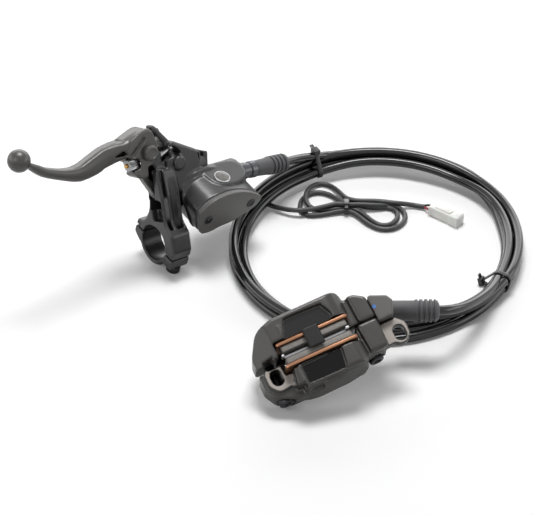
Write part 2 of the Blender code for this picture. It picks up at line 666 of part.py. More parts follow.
def lever_parts(frame, lever_frame, satin, bearing):
    pivot = Vector((PIVOT[0], LEVER_Y, PIVOT[1]))
    outer = TONGUE_WIDTH / 2 + SIDE_PLAY + CHEEK
    lever = piece("lever", lever_blade(), lever_frame, satin, pivot)
    add(lever, lever_ball())
    cheek = [
        (-8.0, 72.3, 1.5), (-5.6, 69.8, 1.5), (-3.4, 63.0, 2.0), (-2.6, 55.5, 3.5), (-6.5, 50.6, 3.5),
        (-11.6, 49.5, 1.0), (-11.6, 43.4, 2.0), (-18.0, 43.6, 2.5), (-22.8, 48.4, 2.0), (-20.5, 56.0, 2.0),
        (-26.0, 60.0, 3.0), (-22.0, 67.5, 3.0), (-14.0, 71.6, 3.0),
    ]
    add(lever, prism(rounded(cheek), LEVER_Y - outer, LEVER_Y + outer, 0.7, axes=lever_plane()))
    finger = [
        (-20.0, 47.5, 1.2), (-13.0, 47.5, 1.2), (-8.8, 43.0, 2.5),
        (FINGER_TIP[0] + FINGER_TIP_RADIUS, FINGER_TIP[1] + 2.0, 1.7),
        (FINGER_TIP[0] + FINGER_TIP_RADIUS, FINGER_TIP[1] - 2.4, 1.7),
        (FINGER_TIP[0] - 1.8, FINGER_TIP[1] - 2.8, 1.4), (-5.8, 29.0, 3.0), (-14.5, 41.5, 2.5),
    ]
    half = FINGER_WIDTH / 2
    free = TONGUE_WIDTH / 2 + SIDE_PLAY
    room = [
        (PIVOT[0] - 7.0, PIVOT[1] - 6.6, 0), (PIVOT[0] - 7.0, PIVOT[1] + 7.0, 0), (-9.0, 69.0, 0), (-8.6, 75.0, 0),
        (6.0, 75.0, 0), (6.0, 30.0, 0), (-6.0, 46.0, 0), (PIVOT[0] - 3.0, PIVOT[1] - 6.9, 0),
    ]
    cut(lever, prism(rounded(room), LEVER_Y - free, LEVER_Y + free, axes=lever_plane()))
    add(lever, prism(rounded(finger), LEVER_Y - half, LEVER_Y + half, 0.5, axes=lever_plane()))
    cut(lever, rod(pivot, Y, PIVOT_PIN / 2 + GAP, -30, 30))
    knob = Vector(KNOB_AT)
    cut(lever, rod(knob, X, KNOB_RADIUS + 0.5, -KNOB_LENGTH - 0.6, 3.2))
    cut(lever, rod(knob, X, 1.5 + GAP, 0, 12))
    wall = LEVER_Y - outer
    pocket = [(-36.5, 60.4, 1.0), (-34.6, 62.8, 1.0), (-27.0, 65.4, 1.0), (-24.4, 62.6, 1.0), (-29.0, 61.0, 2.0)]
    groove = [(-13.0, 68.6, 0.4), (-11.8, 67.8, 0.4), (-20.4, 57.4, 0.6), (-22.4, 59.4, 0.6)]
    cut(lever, prism(rounded(groove, 3), wall - 2, wall + 1.3, axes=lever_plane()))
    side = LEVER_Y - BLADE_DEPTH / 2
    cut(lever, prism(rounded(pocket, 3), side - 4, side + 0.9, axes=lever_plane()))
    notch = [(-29.0, 69.8, 0.5), (-28.0, 66.0, 0.8), (-25.0, 66.0, 0.8), (-23.4, 70.0, 0.5)]
    cut(lever, prism(rounded(notch, 3), -14, 8, axes=lever_plane()))
    head = LEVER_Y - outer - GAP
    bolt = [
        (0, head - 3.3), (4.1, head - 3.3), (4.6, head - 2.8), (4.6, head), (PIVOT_PIN / 2, head),
        (PIVOT_PIN / 2, LEVER_Y + outer + 0.2), (0, LEVER_Y + outer + 0.2),
    ]
    piece("pivot_bolt", turned(bolt, (PIVOT[0], 0, PIVOT[1]), Y, 28), frame, satin)
    back = LEVER_Y + TONGUE_WIDTH / 2
    bush = ring((PIVOT[0], 0, PIVOT[1]), Y, PIVOT_PIN / 2 + GAP, PIVOT_PIN / 2 + 1.2, back - TONGUE_WIDTH, back)
    piece("pivot_bush", bush, frame, bearing)
    return lever


def adjuster(frame, steel, brass, origin):
    """Knurled wheel and screw that set how far the blade stands from the bar."""
    knob = Vector(KNOB_AT)
    teeth = 16
    outline = []
    for k in range(2 * teeth):
        radius = KNOB_RADIUS - (0.45 if k % 2 else 0.0)
        a = math.pi * k / teeth
        outline.append(Vector((radius * math.cos(a), radius * math.sin(a))))
    wheel = prism(outline, -KNOB_LENGTH, 0.0, 0.4, knob, (Y, Z, X))
    wheel = piece("reach_adjuster_wheel", wheel, frame, steel, origin)
    cut(wheel, rod(knob, X, 1.5 + GAP, -KNOB_LENGTH - 2, 2))
    tail = -KNOB_LENGTH - 1.4
    screw = turned([(0, tail), (1.0, tail), (1.5, tail + 0.5), (1.5, 2.0), (1.1, 2.6), (0, 2.6)], knob, X, 14)
    piece("reach_adjuster_screw", screw, frame, brass, origin)


def hydraulics(master, slide, steel, rubber, alloy):
    """Piston, its seals and return spring in the master cylinder's bore."""
    at = Vector((0, LEVER_Y, BORE_Z))
    radius = BORE / 2
    face = FINGER_TIP[0] + FINGER_TIP_RADIUS + GAP
    end = face + 26.0
    profile = [
        (0, face), (radius - 0.5, face), (radius, face + 0.5), (radius, face + 11.0), (radius - 1.6, face + 11.0),
        (radius - 1.6, face + 13.0), (radius, face + 13.0), (radius, face + 15.0), (2.4, face + 15.0),
        (2.4, face + 19.4), (radius - 0.4, face + 19.4), (radius - 0.4, face + 21.0), (radius - 1.6, face + 21.0),
        (radius - 1.6, face + 23.0), (radius - 0.4, face + 23.0), (radius - 0.4, face + 24.0), (1.8, face + 24.0),
        (1.8, end), (0, end),
    ]
    piece("master_piston", turned(profile, at, X, 20), slide, alloy)
    for name, start in (("secondary_seal", face + 11.0), ("primary_seal", face + 21.0)):
        seal = ring(at, X, radius - 1.6 + 0.2, radius + 0.1, start + 0.15, start + 1.85, 20)
        piece(name, seal, slide, rubber)
    coil = []
    turns, wire = 5.0, 0.55
    start, stop = face + 24.0 + GAP + wire, BORE_END - GAP - wire
    steps = 50
    for k in range(steps + 1):
        a = 2 * math.pi * turns * k / steps
        coil.append((start + (stop - start) * k / steps, LEVER_Y + 3.4 * math.cos(a), BORE_Z + 3.4 * math.sin(a)))
    cord("piston_spring", coil, 2 * wire, master, steel, spacing=2.0)


def outlet(frame, alloy, rubber):
    """Compression nut and rubber boot where the hose leaves the master cylinder."""
    at, axis = outlet_at(), outlet_axis()
    start = 3.4 + GAP
    nut = [
        (HOSE / 2 + 0.35, start), (NUT_RADIUS - 0.6, start), (NUT_RADIUS, start + 0.6), (NUT_RADIUS, start + 4.0),
        (NUT_RADIUS - 0.5, start + 4.4), (NUT_RADIUS - 0.5, start + 5.2), (NUT_RADIUS, start + 5.6),
        (NUT_RADIUS, start + NUT_LENGTH - 0.5), (NUT_RADIUS - 0.5, start + NUT_LENGTH),
        (HOSE / 2 + 0.35, start + NUT_LENGTH), (HOSE / 2 + 0.35, start),
    ]
    piece("hose_nut", turned(nut, at, axis, 20), frame, alloy)
    boot_start = start + NUT_LENGTH + GAP
    piece("boot_master", boot(at, axis, boot_start, BOOT_RADIUS, BOOT_LENGTH, 4), frame, rubber)


def boot(at, axis, start, radius, length, grooves):
    """Moulded strain relief: a plain sleeve, then ring grooves and a tapered end round the hose."""
    bore = HOSE / 2 + 0.35
    profile = [(bore, start), (radius - 0.5, start), (radius, start + 0.6)]
    pitch = 2.7
    first = start + length - 4.2 - pitch * grooves
    for k in range(grooves):
        s = first + pitch * k
        profile += [(radius, s), (radius - 1.0, s + 0.5), (radius - 1.0, s + 1.2), (radius, s + 1.7)]
    end = start + length
    profile += [(radius - 0.2, end - 3.0), (radius - 1.4, end - 1.0), (radius - 2.4, end), (bore, end), (bore, start)]
    return turned(profile, at, axis, 18)


def disc_room():
    """Room for the brake disc, which enters from below: its rim is an arc, so the slot is lower at the ends."""
    middle = Vector((0, 0, DISC_RIM - DISC_RADIUS))
    return rod(middle, Y, DISC_RADIUS, -DISC_GAP / 2 - 0.5, DISC_GAP / 2 + 0.5, sides=96)


def pad_room():
    back = DISC_GAP / 2 + LINING + PLATE
    half = PAD_LENGTH / 2 + 0.9
    return box((-half, -back - 1.0, -PAD_DEPTH - 3.4), (half, back + 1.0, 6.0))


def piston_places():
    return [Vector((x, 0, PISTON_Z)) for x in (-PISTON_SPREAD, PISTON_SPREAD)]


def bore_piston_side(half, side):
    """Two bores with a seal groove each, from the pad's room outwards."""
    back = DISC_GAP / 2 + LINING + PLATE
    radius = PISTON / 2 + GAP
    groove = PISTON / 2 + SEAL_SECTION + GAP
    low = back + 4.6
    end = back + PISTON_LENGTH + 2.0
    profile = [
        (0, back - 0.5), (radius, back - 0.5), (radius, low), (groove, low), (groove, low + 2.4),
        (radius, low + 2.4), (radius, end), (0, end),
    ]
    for at in piston_places():
        cut(half, turned(profile, at, Y * side, 24))


def falls(half, lo, hi):
    """Rounds the top off towards the inlet and slopes it down towards the other end, between two places across."""
    right = [(x, z) for x, z in CROWN] + [(60.0, -11.0), (60.0, 8.0), (11.0, 8.0)]
    left = [(-22.6, 0.2), (-36.6, -9.6), (-60.0, -9.6), (-60.0, 8.0), (-22.6, 8.0)]
    for outline in (right, left):
        cut(half, prism([Vector(c) for c in outline], lo, hi, axes=(X, Z, Y)))


def upper_half(frame, black):
    seam = GAP / 2
    low = -CALIPER_DEPTH
    outline = [
        (-35.4, seam, 0), (-35.2, 7.6, 6.0), (-28.6, 18.4, 8.0), (-18.0, 22.0, 5.0), (22.6, 22.5, 3.5),
        (24.8, 17.0, 4.0), (23.4, seam, 0),
    ]
    half = piece("caliper_half_upper", prism(rounded(outline), low, 0, 1.3), frame, black)
    falls(half, -5.0, 40.0)
    base = [(18.0, seam, 0), (18.0, 17.4, 0), (30.0, 17.4, 4.0), (36.0, 13.5, 3.0), (36.0, seam, 0)]
    add(half, prism(rounded(base), low + 0.6, -8.0, 1.0))
    shoulder = [(25.8, seam, 0), (25.8, 17.2, 1.0), (30.0, 17.2, 4.0), (35.8, 13.3, 3.0), (35.8, seam, 0)]
    add(half, prism(rounded(shoulder), -12.0, -4.0, 1.2))
    cut(half, pad_room())
    cut(half, disc_room())
    bore_piston_side(half, 1)
    window = [(-13.0, 8.0, 0.5), (-10.9, 18.9, 1.5), (10.9, 18.3, 1.5), (12.6, 8.0, 0.5)]
    cut(half, prism(rounded(window), -1.8, 3.0))
    for x, _ in BODY_BOLTS.values():
        cut(half, rod((x, 0, BODY_BOLT_Z), Y, BODY_BOLT / 2 + GAP, -1, 12.4, sides=16))
    cut(half, rod((BLEED_AT[0], 0, BLEED_AT[1]), Y, 1.8 + GAP, 16.0, 24.0, sides=12))
    cut(half, box((25.2, -1, -9.0), (29.0, 2.9, 0)))
    cut(half, box((-31.4, -1, -12.0), (-25.2, 2.2, 0)))
    return half


def lower_half(frame, black):
    seam = -GAP / 2
    low = -CALIPER_DEPTH
    outline = [
        (-35.4, seam, 0), (-35.8, -10.0, 5.0), (-32.0, -17.5, 5.0), (-24.0, -21.0, 3.0), (21.0, -21.4, 4.0),
        (24.4, -16.0, 4.0), (23.4, seam, 0),
    ]
    half = piece("caliper_half_lower", prism(rounded(outline), low, -1.0, 1.3), frame, black)
    falls(half, -40.0, 5.0)
    for at in piston_places():
        add(half, rod(at, -Y, 10.3, 17.0, 22.4, 1.2, sides=28))
    base = [(18.0, seam, 0), (36.0, seam, 0), (35.2, -18.2, 3.0), (18.0, -18.2, 0)]
    add(half, prism(rounded(base), low + 5.0, -8.0, 1.0))
    shoulder = [(25.4, seam, 0), (35.8, seam, 0), (34.6, -18.0, 2.5), (24.4, -18.0, 2.5)]
    add(half, prism(rounded(shoulder), -12.0, -4.0, 1.2))
    tab_low = TAB_TOP - TAB_THICKNESS
    cut(half, box((-45, -40, TAB_TOP - 2.4), (-15.2, 1.0, 10)))
    u, v = LEFT_SLOT
    left = [
        (u - 4.3, v + 7.2, 1.0), (u + 6.2, v + 6.0, 0.8), (u + 11.4, v + 2.8, 0.8), (u + 11.4, v - 7.0, 1.5),
        (u - 2.3, v - 8.6, 4.0), (u - 6.3, v - 3.2, 4.0), (u - 6.1, v + 3.8, 1.5),
    ]
    add(half, prism(rounded(left), tab_low - 1.2, TAB_TOP, 0.5))
    u, v = RIGHT_SLOT
    right = [
        (33.5, v + 10.6, 0), (u + 0.5, v + 10.2, 2.0), (u + 6.0, v + 4.6, 4.0), (u + 5.4, v - 2.6, 4.0),
        (u - 0.4, v - 7.4, 3.5), (u - 5.2, v - 4.4, 2.0), (33.5, v - 5.0, 0),
    ]
    add(half, prism(rounded(right), tab_low, TAB_TOP, 0.5))
    cut(half, prism(inset(rounded(INLET_CORNERS), -2 * GAP), TAB_TOP - 1.0, TAB_TOP + 6.0))
    for u, v in (LEFT_SLOT, RIGHT_SLOT):
        wide, long = TAB_SLOT
        reach = (long - wide) / 2
        slot = arc((u, v + reach), wide / 2, 0, 180, 8) + arc((u, v - reach), wide / 2, 180, 360, 8)
        cut(half, prism(slot, tab_low - 18, TAB_TOP + 3))
    cut(half, pad_room())
    cut(half, disc_room())
    bore_piston_side(half, -1)
    panel = [(-14.0, -9.2, 0.5), (-14.0, -20.0, 2.0), (9.6, -20.0, 2.0), (11.0, -9.2, 0.5)]
    cut(half, prism(rounded(panel), -2.2, 3.0))
    for x, face in BODY_BOLTS.values():
        at = (x, 0, BODY_BOLT_Z)
        cut(half, rod(at, Y, BODY_BOLT / 2 + GAP, -30, 1, sides=16))
        cut(half, rod(at, Y, 4.9, -40, face, sides=20))
    return half


def caliper_fasteners(frame, steel):
    """Bolts that hold the halves together, and the bleed screw."""
    for side, (x, face) in BODY_BOLTS.items():
        at = (x, 0, BODY_BOLT_Z)
        radius = BODY_BOLT / 2
        profile = [
            (0, 12.0), (radius, 12.0), (radius, face - GAP), (4.25, face - GAP), (4.25, face - 3.6),
            (3.8, face - 4.0), (0, face - 4.0),
        ]
        bolt = piece("body_bolt_" + side, turned([(r, h) for r, h in reversed(profile)], at, Y, 20), frame, steel)
        hexagon = arc((0, 0), 2.3, 0, 300, 5)
        cut(bolt, prism(hexagon, face - 5.0, face - 1.8, 0, at, (X, Z, Y)))
    nipple = [(0, 16.6), (1.8, 16.6), (1.8, 22.8), (3.4, 22.8), (3.4, 25.2), (2.0, 25.6), (2.0, 27.2), (0, 27.2)]
    piece("bleed_screw", turned(nipple, (BLEED_AT[0], 0, BLEED_AT[1]), Y, 6), frame, steel)


def pistons_and_pads(frame, movers, alloy, rubber, copper, lining):
    """Four pistons with their seals, and two pads of a backing plate and a lining."""
    back = DISC_GAP / 2 + LINING + PLATE
    half = PAD_LENGTH / 2
    for side, label in ((1, "upper"), (-1, "lower")):
        mover = movers[label]
        axis = Y * side
        for at, end in zip(piston_places(), ("left", "right")):
            radius = PISTON / 2
            low = back + GAP
            cup = [
                (0, low + 3.0), (radius - 2.2, low + 3.0), (radius - 2.2, low), (radius - 0.4, low),
                (radius, low + 0.4), (radius, low + PISTON_LENGTH - 0.8), (radius - 0.8, low + PISTON_LENGTH),
                (0, low + PISTON_LENGTH),
            ]
            piece(f"piston_{label}_{end}", turned(cup, at, axis, 24), mover, alloy)
            start = back + 4.6 + GAP
            seal = ring(at, axis, radius + GAP / 2, radius + SEAL_SECTION, start, start + 1.8, 20)
            piece(f"piston_seal_{label}_{end}", seal, frame, rubber)
        plate = [
            (-half, -0.8, 2.0), (half, -0.8, 2.0), (half, -10.0, 2.0), (half - 5, -PAD_DEPTH, 4.0),
            (-half + 5, -PAD_DEPTH, 4.0), (-half, -10.0, 2.0),
        ]
        start = DISC_GAP / 2 + LINING + GAP / 2
        axes = (X, Z, axis)
        piece(f"pad_{label}_plate", prism(rounded(plate), start, start + PLATE - GAP / 2, 0.3, axes=axes), mover, copper)
        block = [
            (-half + 2, -2.2, 1.5), (half - 2, -2.2, 1.5), (half - 2, -9.0, 1.5), (half - 7, -PAD_DEPTH + 1.5, 3.0),
            (-half + 7, -PAD_DEPTH + 1.5, 3.0), (-half + 2, -9.0, 1.5),
        ]
        friction = prism(rounded(block), DISC_GAP / 2, start - GAP, 0.4, axes=axes)
        piece(f"pad_{label}_lining", friction, mover, lining)


def pad_retainers(frame, black, steel):
    """Block clipped over the pads, and the leaf spring that keeps the pads apart."""
    clip = [(-5.2, -3.2, 0.8), (4.0, -3.2, 0.8), (4.0, 8.6, 0.8), (-5.2, 8.6, 0.8)]
    piece("pad_retainer", prism(rounded(clip), -0.8 + GAP, 1.2, 0.5), frame, black)
    half, thick, side = PAD_LENGTH / 2 - 3.0, 0.45, DISC_GAP / 2 - 0.95
    low = DISC_RIM + 0.5
    leaf = piece("pad_spring", box((-half, -side, low), (half, side, low + 0.6)), frame, steel)
    for x in (-half, half - 4.0):
        for y in (-side, side - thick):
            add(leaf, box((x, y, low - 1.4), (x + 4.0, y + thick, low + 0.3)))
    cut(leaf, prism(rounded([(-9.0, -0.6, 0.5), (9.0, -0.6, 0.5), (9.0, 0.6, 0.5), (-9.0, 0.6, 0.5)]), -5.0, 1.0))


def hose_inlet(frame, alloy, rubber):
    """Elbow block screwed to the caliper's shoulder, and the boot where the hose leaves it."""
    block = piece("hose_inlet", prism(rounded(INLET_CORNERS), -CALIPER_DEPTH + 2.0, -3.6, 1.0), frame, alloy)
    cut(block, box((30.0, -10.0, -40.0), (60.0, -1.6, TAB_TOP + GAP)))
    at, axis = caliper_hose()
    cut(block, rod(at, axis, HOSE / 2 + 0.35, -6.0, 4.0))
    piece("boot_caliper", boot(at, axis, 0.0, CALIPER_BOOT_RADIUS, CALIPER_BOOT_LENGTH, 5), frame, rubber)


def caliper_hose():
    """Where the caliper's boot starts and the way it points, level with the floor."""
    turn = Euler([math.radians(a) for a in CALIPER_TURN]).to_matrix()
    return Vector(CALIPER_BOOT_AT), turn.transposed() @ X


def world_of(at, turn, point):
    """A housing's point in the frame of the floor."""
    return Euler([math.radians(a) for a in turn]).to_matrix() @ Vector(point) + Vector(at)


def coil_point(angle, sideways=0.0, height=0.0):
    """Point on the coil's oval at an angle in degrees, moved outwards and up."""
    a, turn = math.radians(angle), math.radians(COIL_TURN)
    u = (COIL_RADII[0] + sideways) * math.cos(a)
    v = (COIL_RADII[1] + sideways) * math.sin(a)
    x = COIL_AT[0] + u * math.cos(turn) - v * math.sin(turn)
    y = COIL_AT[1] + u * math.sin(turn) + v * math.cos(turn)
    return Vector((x, y, height))


def coil_frame(angle):
    """Outward and forward directions of the coil at an angle."""
    ahead = (coil_point(angle + 0.5) - coil_point(angle - 0.5)).normalized()
    return Vector((ahead.y, -ahead.x, 0)), ahead


def hose_and_ties(floor, rubber, nylon):
    half, high = COIL_WIDTH / 2, COIL_HEIGHT
    section = rounded([(-half, 0, 2.4), (half, 0, 2.4), (half, high, 2.4), (-half, high, 2.4)], 1)
    rings = []
    steps = 60
    for k in range(steps):
        angle = 360.0 * k / steps
        out, _ = coil_frame(angle)
        rings.append([coil_point(angle) + out * p.x + Z * p.y for p in section])
    bm = skin(rings, closed_ends=False)
    bm.verts.ensure_lookup_table()
    count = len(section)
    last = count * (steps - 1)
    for i in range(count):
        j = (i + 1) % count
        bm.faces.new((bm.verts[last + i], bm.verts[last + j], bm.verts[j], bm.verts[i]))
    bmesh.ops.recalc_face_normals(bm, faces=bm.faces)
    coil = piece("hose_coil", bm, floor, rubber)
    for name, angle in zip(("coil_tie_back", "coil_tie_right"), TIE_ANGLES):
        out, ahead = coil_frame(angle)
        tie(name, coil, (-half, half, high), coil_point(angle), (out, Z, ahead), floor, nylon, 1 if angle > 0 else -1)


def tie(name, bundle, size, at, axes, floor, nylon, head_side):
    """Cable tie drawn tight round a bundle, in a waist cut for it, with its head on top."""
    left, right, high = size
    wide = TIE_WIDTH / 2
    sink = TIE_BAND + GAP + 0.1
    soft = min(2.0, 0.35 * (high - 2 * sink))
    inner = rounded([(left + sink, sink, soft), (right - sink, sink, soft), (right - sink, high - sink, soft),
                     (left + sink, high - sink, soft)])
    outer = inset(inner, -TIE_BAND)
    waist = solid("waist", box((left - 4.0, -3.0, -wide - GAP), (right + 4.0, high + 4.0, wide + GAP), at, axes))
    cut(waist, prism(inset(inner, GAP), -wide - 2, wide + 2, 0, at, axes))
    groove = bmesh.new()
    groove.from_mesh(waist.data)
    bmesh.ops.scale(groove, vec=(1 / MM, 1 / MM, 1 / MM), verts=groove.verts)
    bpy.data.objects.remove(waist, do_unlink=True)
    cut(bundle, groove)
    band = piece(name, prism(outer, -wide, wide, 0.2, at, axes), floor, nylon)
    top = high - sink + TIE_BAND
    middle = (left + right) / 2 + head_side * 2.6
    add(band, box((middle - 2.4, top - 0.8, -wide + 0.1), (middle + 2.4, top + 2.4, wide - 0.1), at, axes))
    cut(band, prism(inner, -wide - 2, wide + 2, 0, at, axes))


def hose_leads(floor, rubber):
    """The hose's two free ends, from each boot to the top of the coil."""
    lift = COIL_HEIGHT + HOSE / 2 + GAP
    nut_end = 3.4 + GAP + NUT_LENGTH + GAP
    out = outlet_axis()
    start = world_of(MASTER_AT, MASTER_TURN, outlet_at() + out * (nut_end + BOOT_LENGTH - 6.0))
    mid = world_of(MASTER_AT, MASTER_TURN, outlet_at() + out * (nut_end + BOOT_LENGTH + 8.0))
    route = [start, mid, (30.0, 82.0, 21.5), (41.0, 91.0, 17.2), coil_point(96.0, 0, lift)]
    cord("hose_lead_master", [tuple(p) for p in route], HOSE, floor, rubber)
    at, axis = caliper_hose()
    start = world_of(CALIPER_AT, CALIPER_TURN, at + axis * (CALIPER_BOOT_LENGTH - 6.0))
    mid = world_of(CALIPER_AT, CALIPER_TURN, at + axis * (CALIPER_BOOT_LENGTH + 8.0))
    route = [start, mid, (109.3, -85.2, 28.2), (119.7, -72.8, 24.4), (128.8, -57.7, 20.6), (135.6, -44.1, 17.8),
             coil_point(-4.0, 1.0, lift)]
    cord("hose_lead_caliper", [tuple(p) for p in route], HOSE, floor, rubber)


def cable_parts(floor, rubber, nylon, white, red):
    """Brake switch cable: the free stretch, its tied hank, the tail and the two wires into the connector."""
    exit_at = world_of(MASTER_AT, MASTER_TURN, (30.0, LEVER_Y + 6.0 + GAP, 43.0))
    out = world_of((0, 0, 0), MASTER_TURN, (0, 1, 0))
    route = [exit_at, exit_at + out * 8.0, (-48.0, 44.0, 38.0), (-40.0, 53.0, 27.0), (-27.0, 57.0, 19.5),
             (-13.0, 55.5, 16.4), (-3.0, 52.5, 15.2), (7.0, 49.5, 9.0), (13.5, 47.5, 4.2), (20.1, 47.3, 1.9)]
    cord("switch_cable", [tuple(p) for p in route], CABLE, floor, rubber, 6.5)
    bow = [
        (20.6, 44.0, 6.0), (20.6, 62.0, 10.0), (32.0, 80.0, 8.0), (41.0, 76.0, 8.0), (50.0, 56.5, 6.0), (72.0, 57.0, 8.0),
        (89.0, 49.0, 8.0), (89.0, 34.0, 10.0), (76.0, 21.5, 10.0), (62.0, 28.0, 10.0), (50.0, 42.0, 8.0), (34.0, 38.5, 8.0),
    ]
    hank = piece("cable_hank", prism(rounded(bow), 0, HANK_HEIGHT, 0.8), floor, rubber)
    across = Vector((0.1, 1.0, 0)).normalized()
    size = (-8.2, 8.2, HANK_HEIGHT)
    tie("hank_tie", hank, size, Vector((49.9, 49.3, 0)), (across, Z, across.cross(Z)), floor, nylon, 1)
    tail = [(83.3, 53.2, 1.45), (90.0, 54.8, 1.45), (95.0, 53.2, 1.6), (98.6, 51.2, 2.0)]
    cord("cable_tail", tail, CABLE, floor, rubber, 3.0)
    long, wide, high = CONNECTOR
    turn = math.radians(CONNECTOR_TURN)
    u, v = Vector((math.cos(turn), math.sin(turn), 0)), Vector((-math.sin(turn), math.cos(turn), 0))
    at = Vector((*CONNECTOR_AT, 0))
    for name, side, finish_of in (("wire_black", 1, rubber), ("wire_red", -1, red)):
        start = Vector((98.9, 51.0, 2.0)) + v * (side * 0.95)
        end = at - u * (long / 2 + 0.2) + v * (side * 2.0) + Z * 3.4
        wire = [start, start.lerp(end, 0.35) + v * (side * 0.4), start.lerp(end, 0.7) + v * (side * 0.4), end]
        cord(name, [tuple(p) for p in wire], WIRE, floor, finish_of, 2.5)
    axes = (u, v, Z)
    outline = [(-long / 2, -wide / 2, 0.8), (long / 2, -wide / 2, 0.8), (long / 2, wide / 2, 0.8), (-long / 2, wide / 2, 0.8)]
    housing = piece("connector_housing", prism(rounded(outline), 0, high, 0.5, at, axes), floor, white)
    add(housing, box((long / 2 - 4.2, -wide / 2 - 0.7, 0), (long / 2 - 2.4, wide / 2 + 0.7, high + 0.6), at, axes))
    add(housing, box((-6.5, -2.2, high - 0.5), (3.5, 2.2, high + 0.9), at, axes))
    cut(housing, box((long / 2 - 7.5, -wide / 2 + 1.1, 1.0), (long / 2 + 1, wide / 2 - 1.1, high - 1.0), at, axes))
    for side in (-2.0, 2.0):
        cut(housing, rod(at + v * side + Z * 3.4, u, WIRE / 2 + GAP, -long / 2 - 1, -long / 2 + 4, sides=12))


def build():
    clear_scene()
    black = finish("black_painted_alloy", (0.018, 0.018, 0.019), 0.45, 0.0)
    satin = finish("satin_anthracite", (0.09, 0.09, 0.092), 0.42, 0.3)
    cover_finish = finish("moulded_cover", (0.055, 0.053, 0.05), 0.5, 0.0)
    steel = finish("zinc_steel", (0.55, 0.55, 0.56), 0.3, 1.0)
    dark_steel = finish("black_oxide_steel", (0.05, 0.05, 0.05), 0.4, 0.8)
    brass = finish("brass", (0.6, 0.38, 0.16), 0.3, 1.0)
    alloy = finish("turned_alloy", (0.35, 0.35, 0.36), 0.35, 1.0)
    rubber = finish("moulded_rubber", (0.05, 0.05, 0.052), 0.7, 0.0)
    hose = finish("hose_jacket", (0.012, 0.012, 0.012), 0.25, 0.0)
    glass = finish("sight_glass", (0.35, 0.34, 0.3), 0.1, 0.0)
    copper = finish("copper_plated_steel", (0.65, 0.32, 0.16), 0.3, 1.0)
    lining = finish("sintered_lining", (0.25, 0.24, 0.23), 0.7, 0.4)
    nylon = finish("black_nylon", (0.015, 0.015, 0.015), 0.4, 0.0)
    white = finish("white_nylon", (0.82, 0.8, 0.76), 0.4, 0.0)
    red = finish("red_wire", (0.3, 0.02, 0.03), 0.4, 0.0)

    shift = frame_of("floor_frame", (*FLOOR_SHIFT, 0), (0, 0, 0))
    master = frame_of("master_frame", MASTER_AT, MASTER_TURN, shift)
    pivot = (PIVOT[0], LEVER_Y, PIVOT[1])
    lever_frame = frame_of("lever_axis", pivot, (0, 0, 0), master)
    piston_frame = frame_of("piston_axis", (0, 0, 0), (0, 0, 0), master)
    caliper = frame_of("caliper_frame", CALIPER_AT, CALIPER_TURN, shift)
    pad_frames = {side: frame_of(f"pad_{side}_slide", (0, 0, 0), (0, 0, 0), caliper) for side in ("upper", "lower")}

    master_body(master, black)
    clamp(master, black, dark_steel)
    reservoir(master, cover_finish, steel, rubber, glass)
    lever_parts(master, lever_frame, satin, brass)
    adjuster(lever_frame, steel, brass, Vector(pivot))
    hydraulics(master, piston_frame, steel, rubber, alloy)
    outlet(master, alloy, rubber)
    piece("switch_body", switch_solid(), master, black)
    piece("switch_plunger", plunger_solid(), master, steel)
    piece("stop_screw", stop_screw_solid(), master, dark_steel)

    upper_half(caliper, black)
    lower_half(caliper, black)
    caliper_fasteners(caliper, dark_steel)
    pistons_and_pads(caliper, pad_frames, alloy, rubber, copper, lining)
    pad_retainers(caliper, black, steel)
    hose_inlet(caliper, satin, rubber)

    hose_and_ties(shift, hose, nylon)
    hose_leads(shift, hose)
    cable_parts(shift, hose, nylon, white, red)
    settle()


build()
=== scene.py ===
"""Looks of a hydraulic front brake: lever and master cylinder, coiled hose, caliper, switch cable.

Lengths are millimetres here and become metres in the meshes. Points of the lever assembly are in its own frame, X along
the handlebar and Z up to the lever's pivot; points of the caliper are in a frame with X along the pads, Y across the
disc and Z out of the slot. Both frames are the solids' own.
"""

import json
import math

import bmesh
import bpy
import numpy as np
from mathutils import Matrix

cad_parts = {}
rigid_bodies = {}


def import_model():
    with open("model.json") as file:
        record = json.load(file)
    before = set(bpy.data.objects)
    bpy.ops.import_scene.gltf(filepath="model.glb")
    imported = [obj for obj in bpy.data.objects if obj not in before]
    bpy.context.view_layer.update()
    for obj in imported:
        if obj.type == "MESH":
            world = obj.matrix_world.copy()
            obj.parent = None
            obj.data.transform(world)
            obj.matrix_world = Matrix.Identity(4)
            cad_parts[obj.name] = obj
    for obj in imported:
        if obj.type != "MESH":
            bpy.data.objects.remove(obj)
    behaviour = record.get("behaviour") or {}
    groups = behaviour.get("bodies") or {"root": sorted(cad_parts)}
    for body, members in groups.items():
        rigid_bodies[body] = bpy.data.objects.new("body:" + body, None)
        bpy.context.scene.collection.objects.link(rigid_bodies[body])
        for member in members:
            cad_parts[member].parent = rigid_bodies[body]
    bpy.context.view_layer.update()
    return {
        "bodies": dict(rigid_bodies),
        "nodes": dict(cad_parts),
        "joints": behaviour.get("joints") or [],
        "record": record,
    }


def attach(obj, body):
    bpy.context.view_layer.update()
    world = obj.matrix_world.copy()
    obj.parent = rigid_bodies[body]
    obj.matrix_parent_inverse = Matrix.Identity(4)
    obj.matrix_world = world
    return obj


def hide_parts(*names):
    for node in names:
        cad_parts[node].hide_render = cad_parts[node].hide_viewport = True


MM = 0.001

# Where the two housings lie, as in the solids
FLOOR_SHIFT = np.array([24.3, 39.4, 0.0])
MASTER_AT = np.array([-62.2, -3.2, 15.5])
MASTER_TURN = (-18.7, 7.6, 39.4)
CALIPER_AT = np.array([27.0, -124.3, 36.9])
CALIPER_TURN = (27.5, -12.3, 22.3)

# Camera in line with Y, looking down at the middle of the set: degrees above the floor, distance, lens and sensor
CAMERA_RISE = 36.5
CAMERA_DISTANCE = 1100.0
LENS = 122.6
SENSOR = 36.0

# Diameters
HOSE = 5.6
CABLE = 3.1
WIRE = 1.5

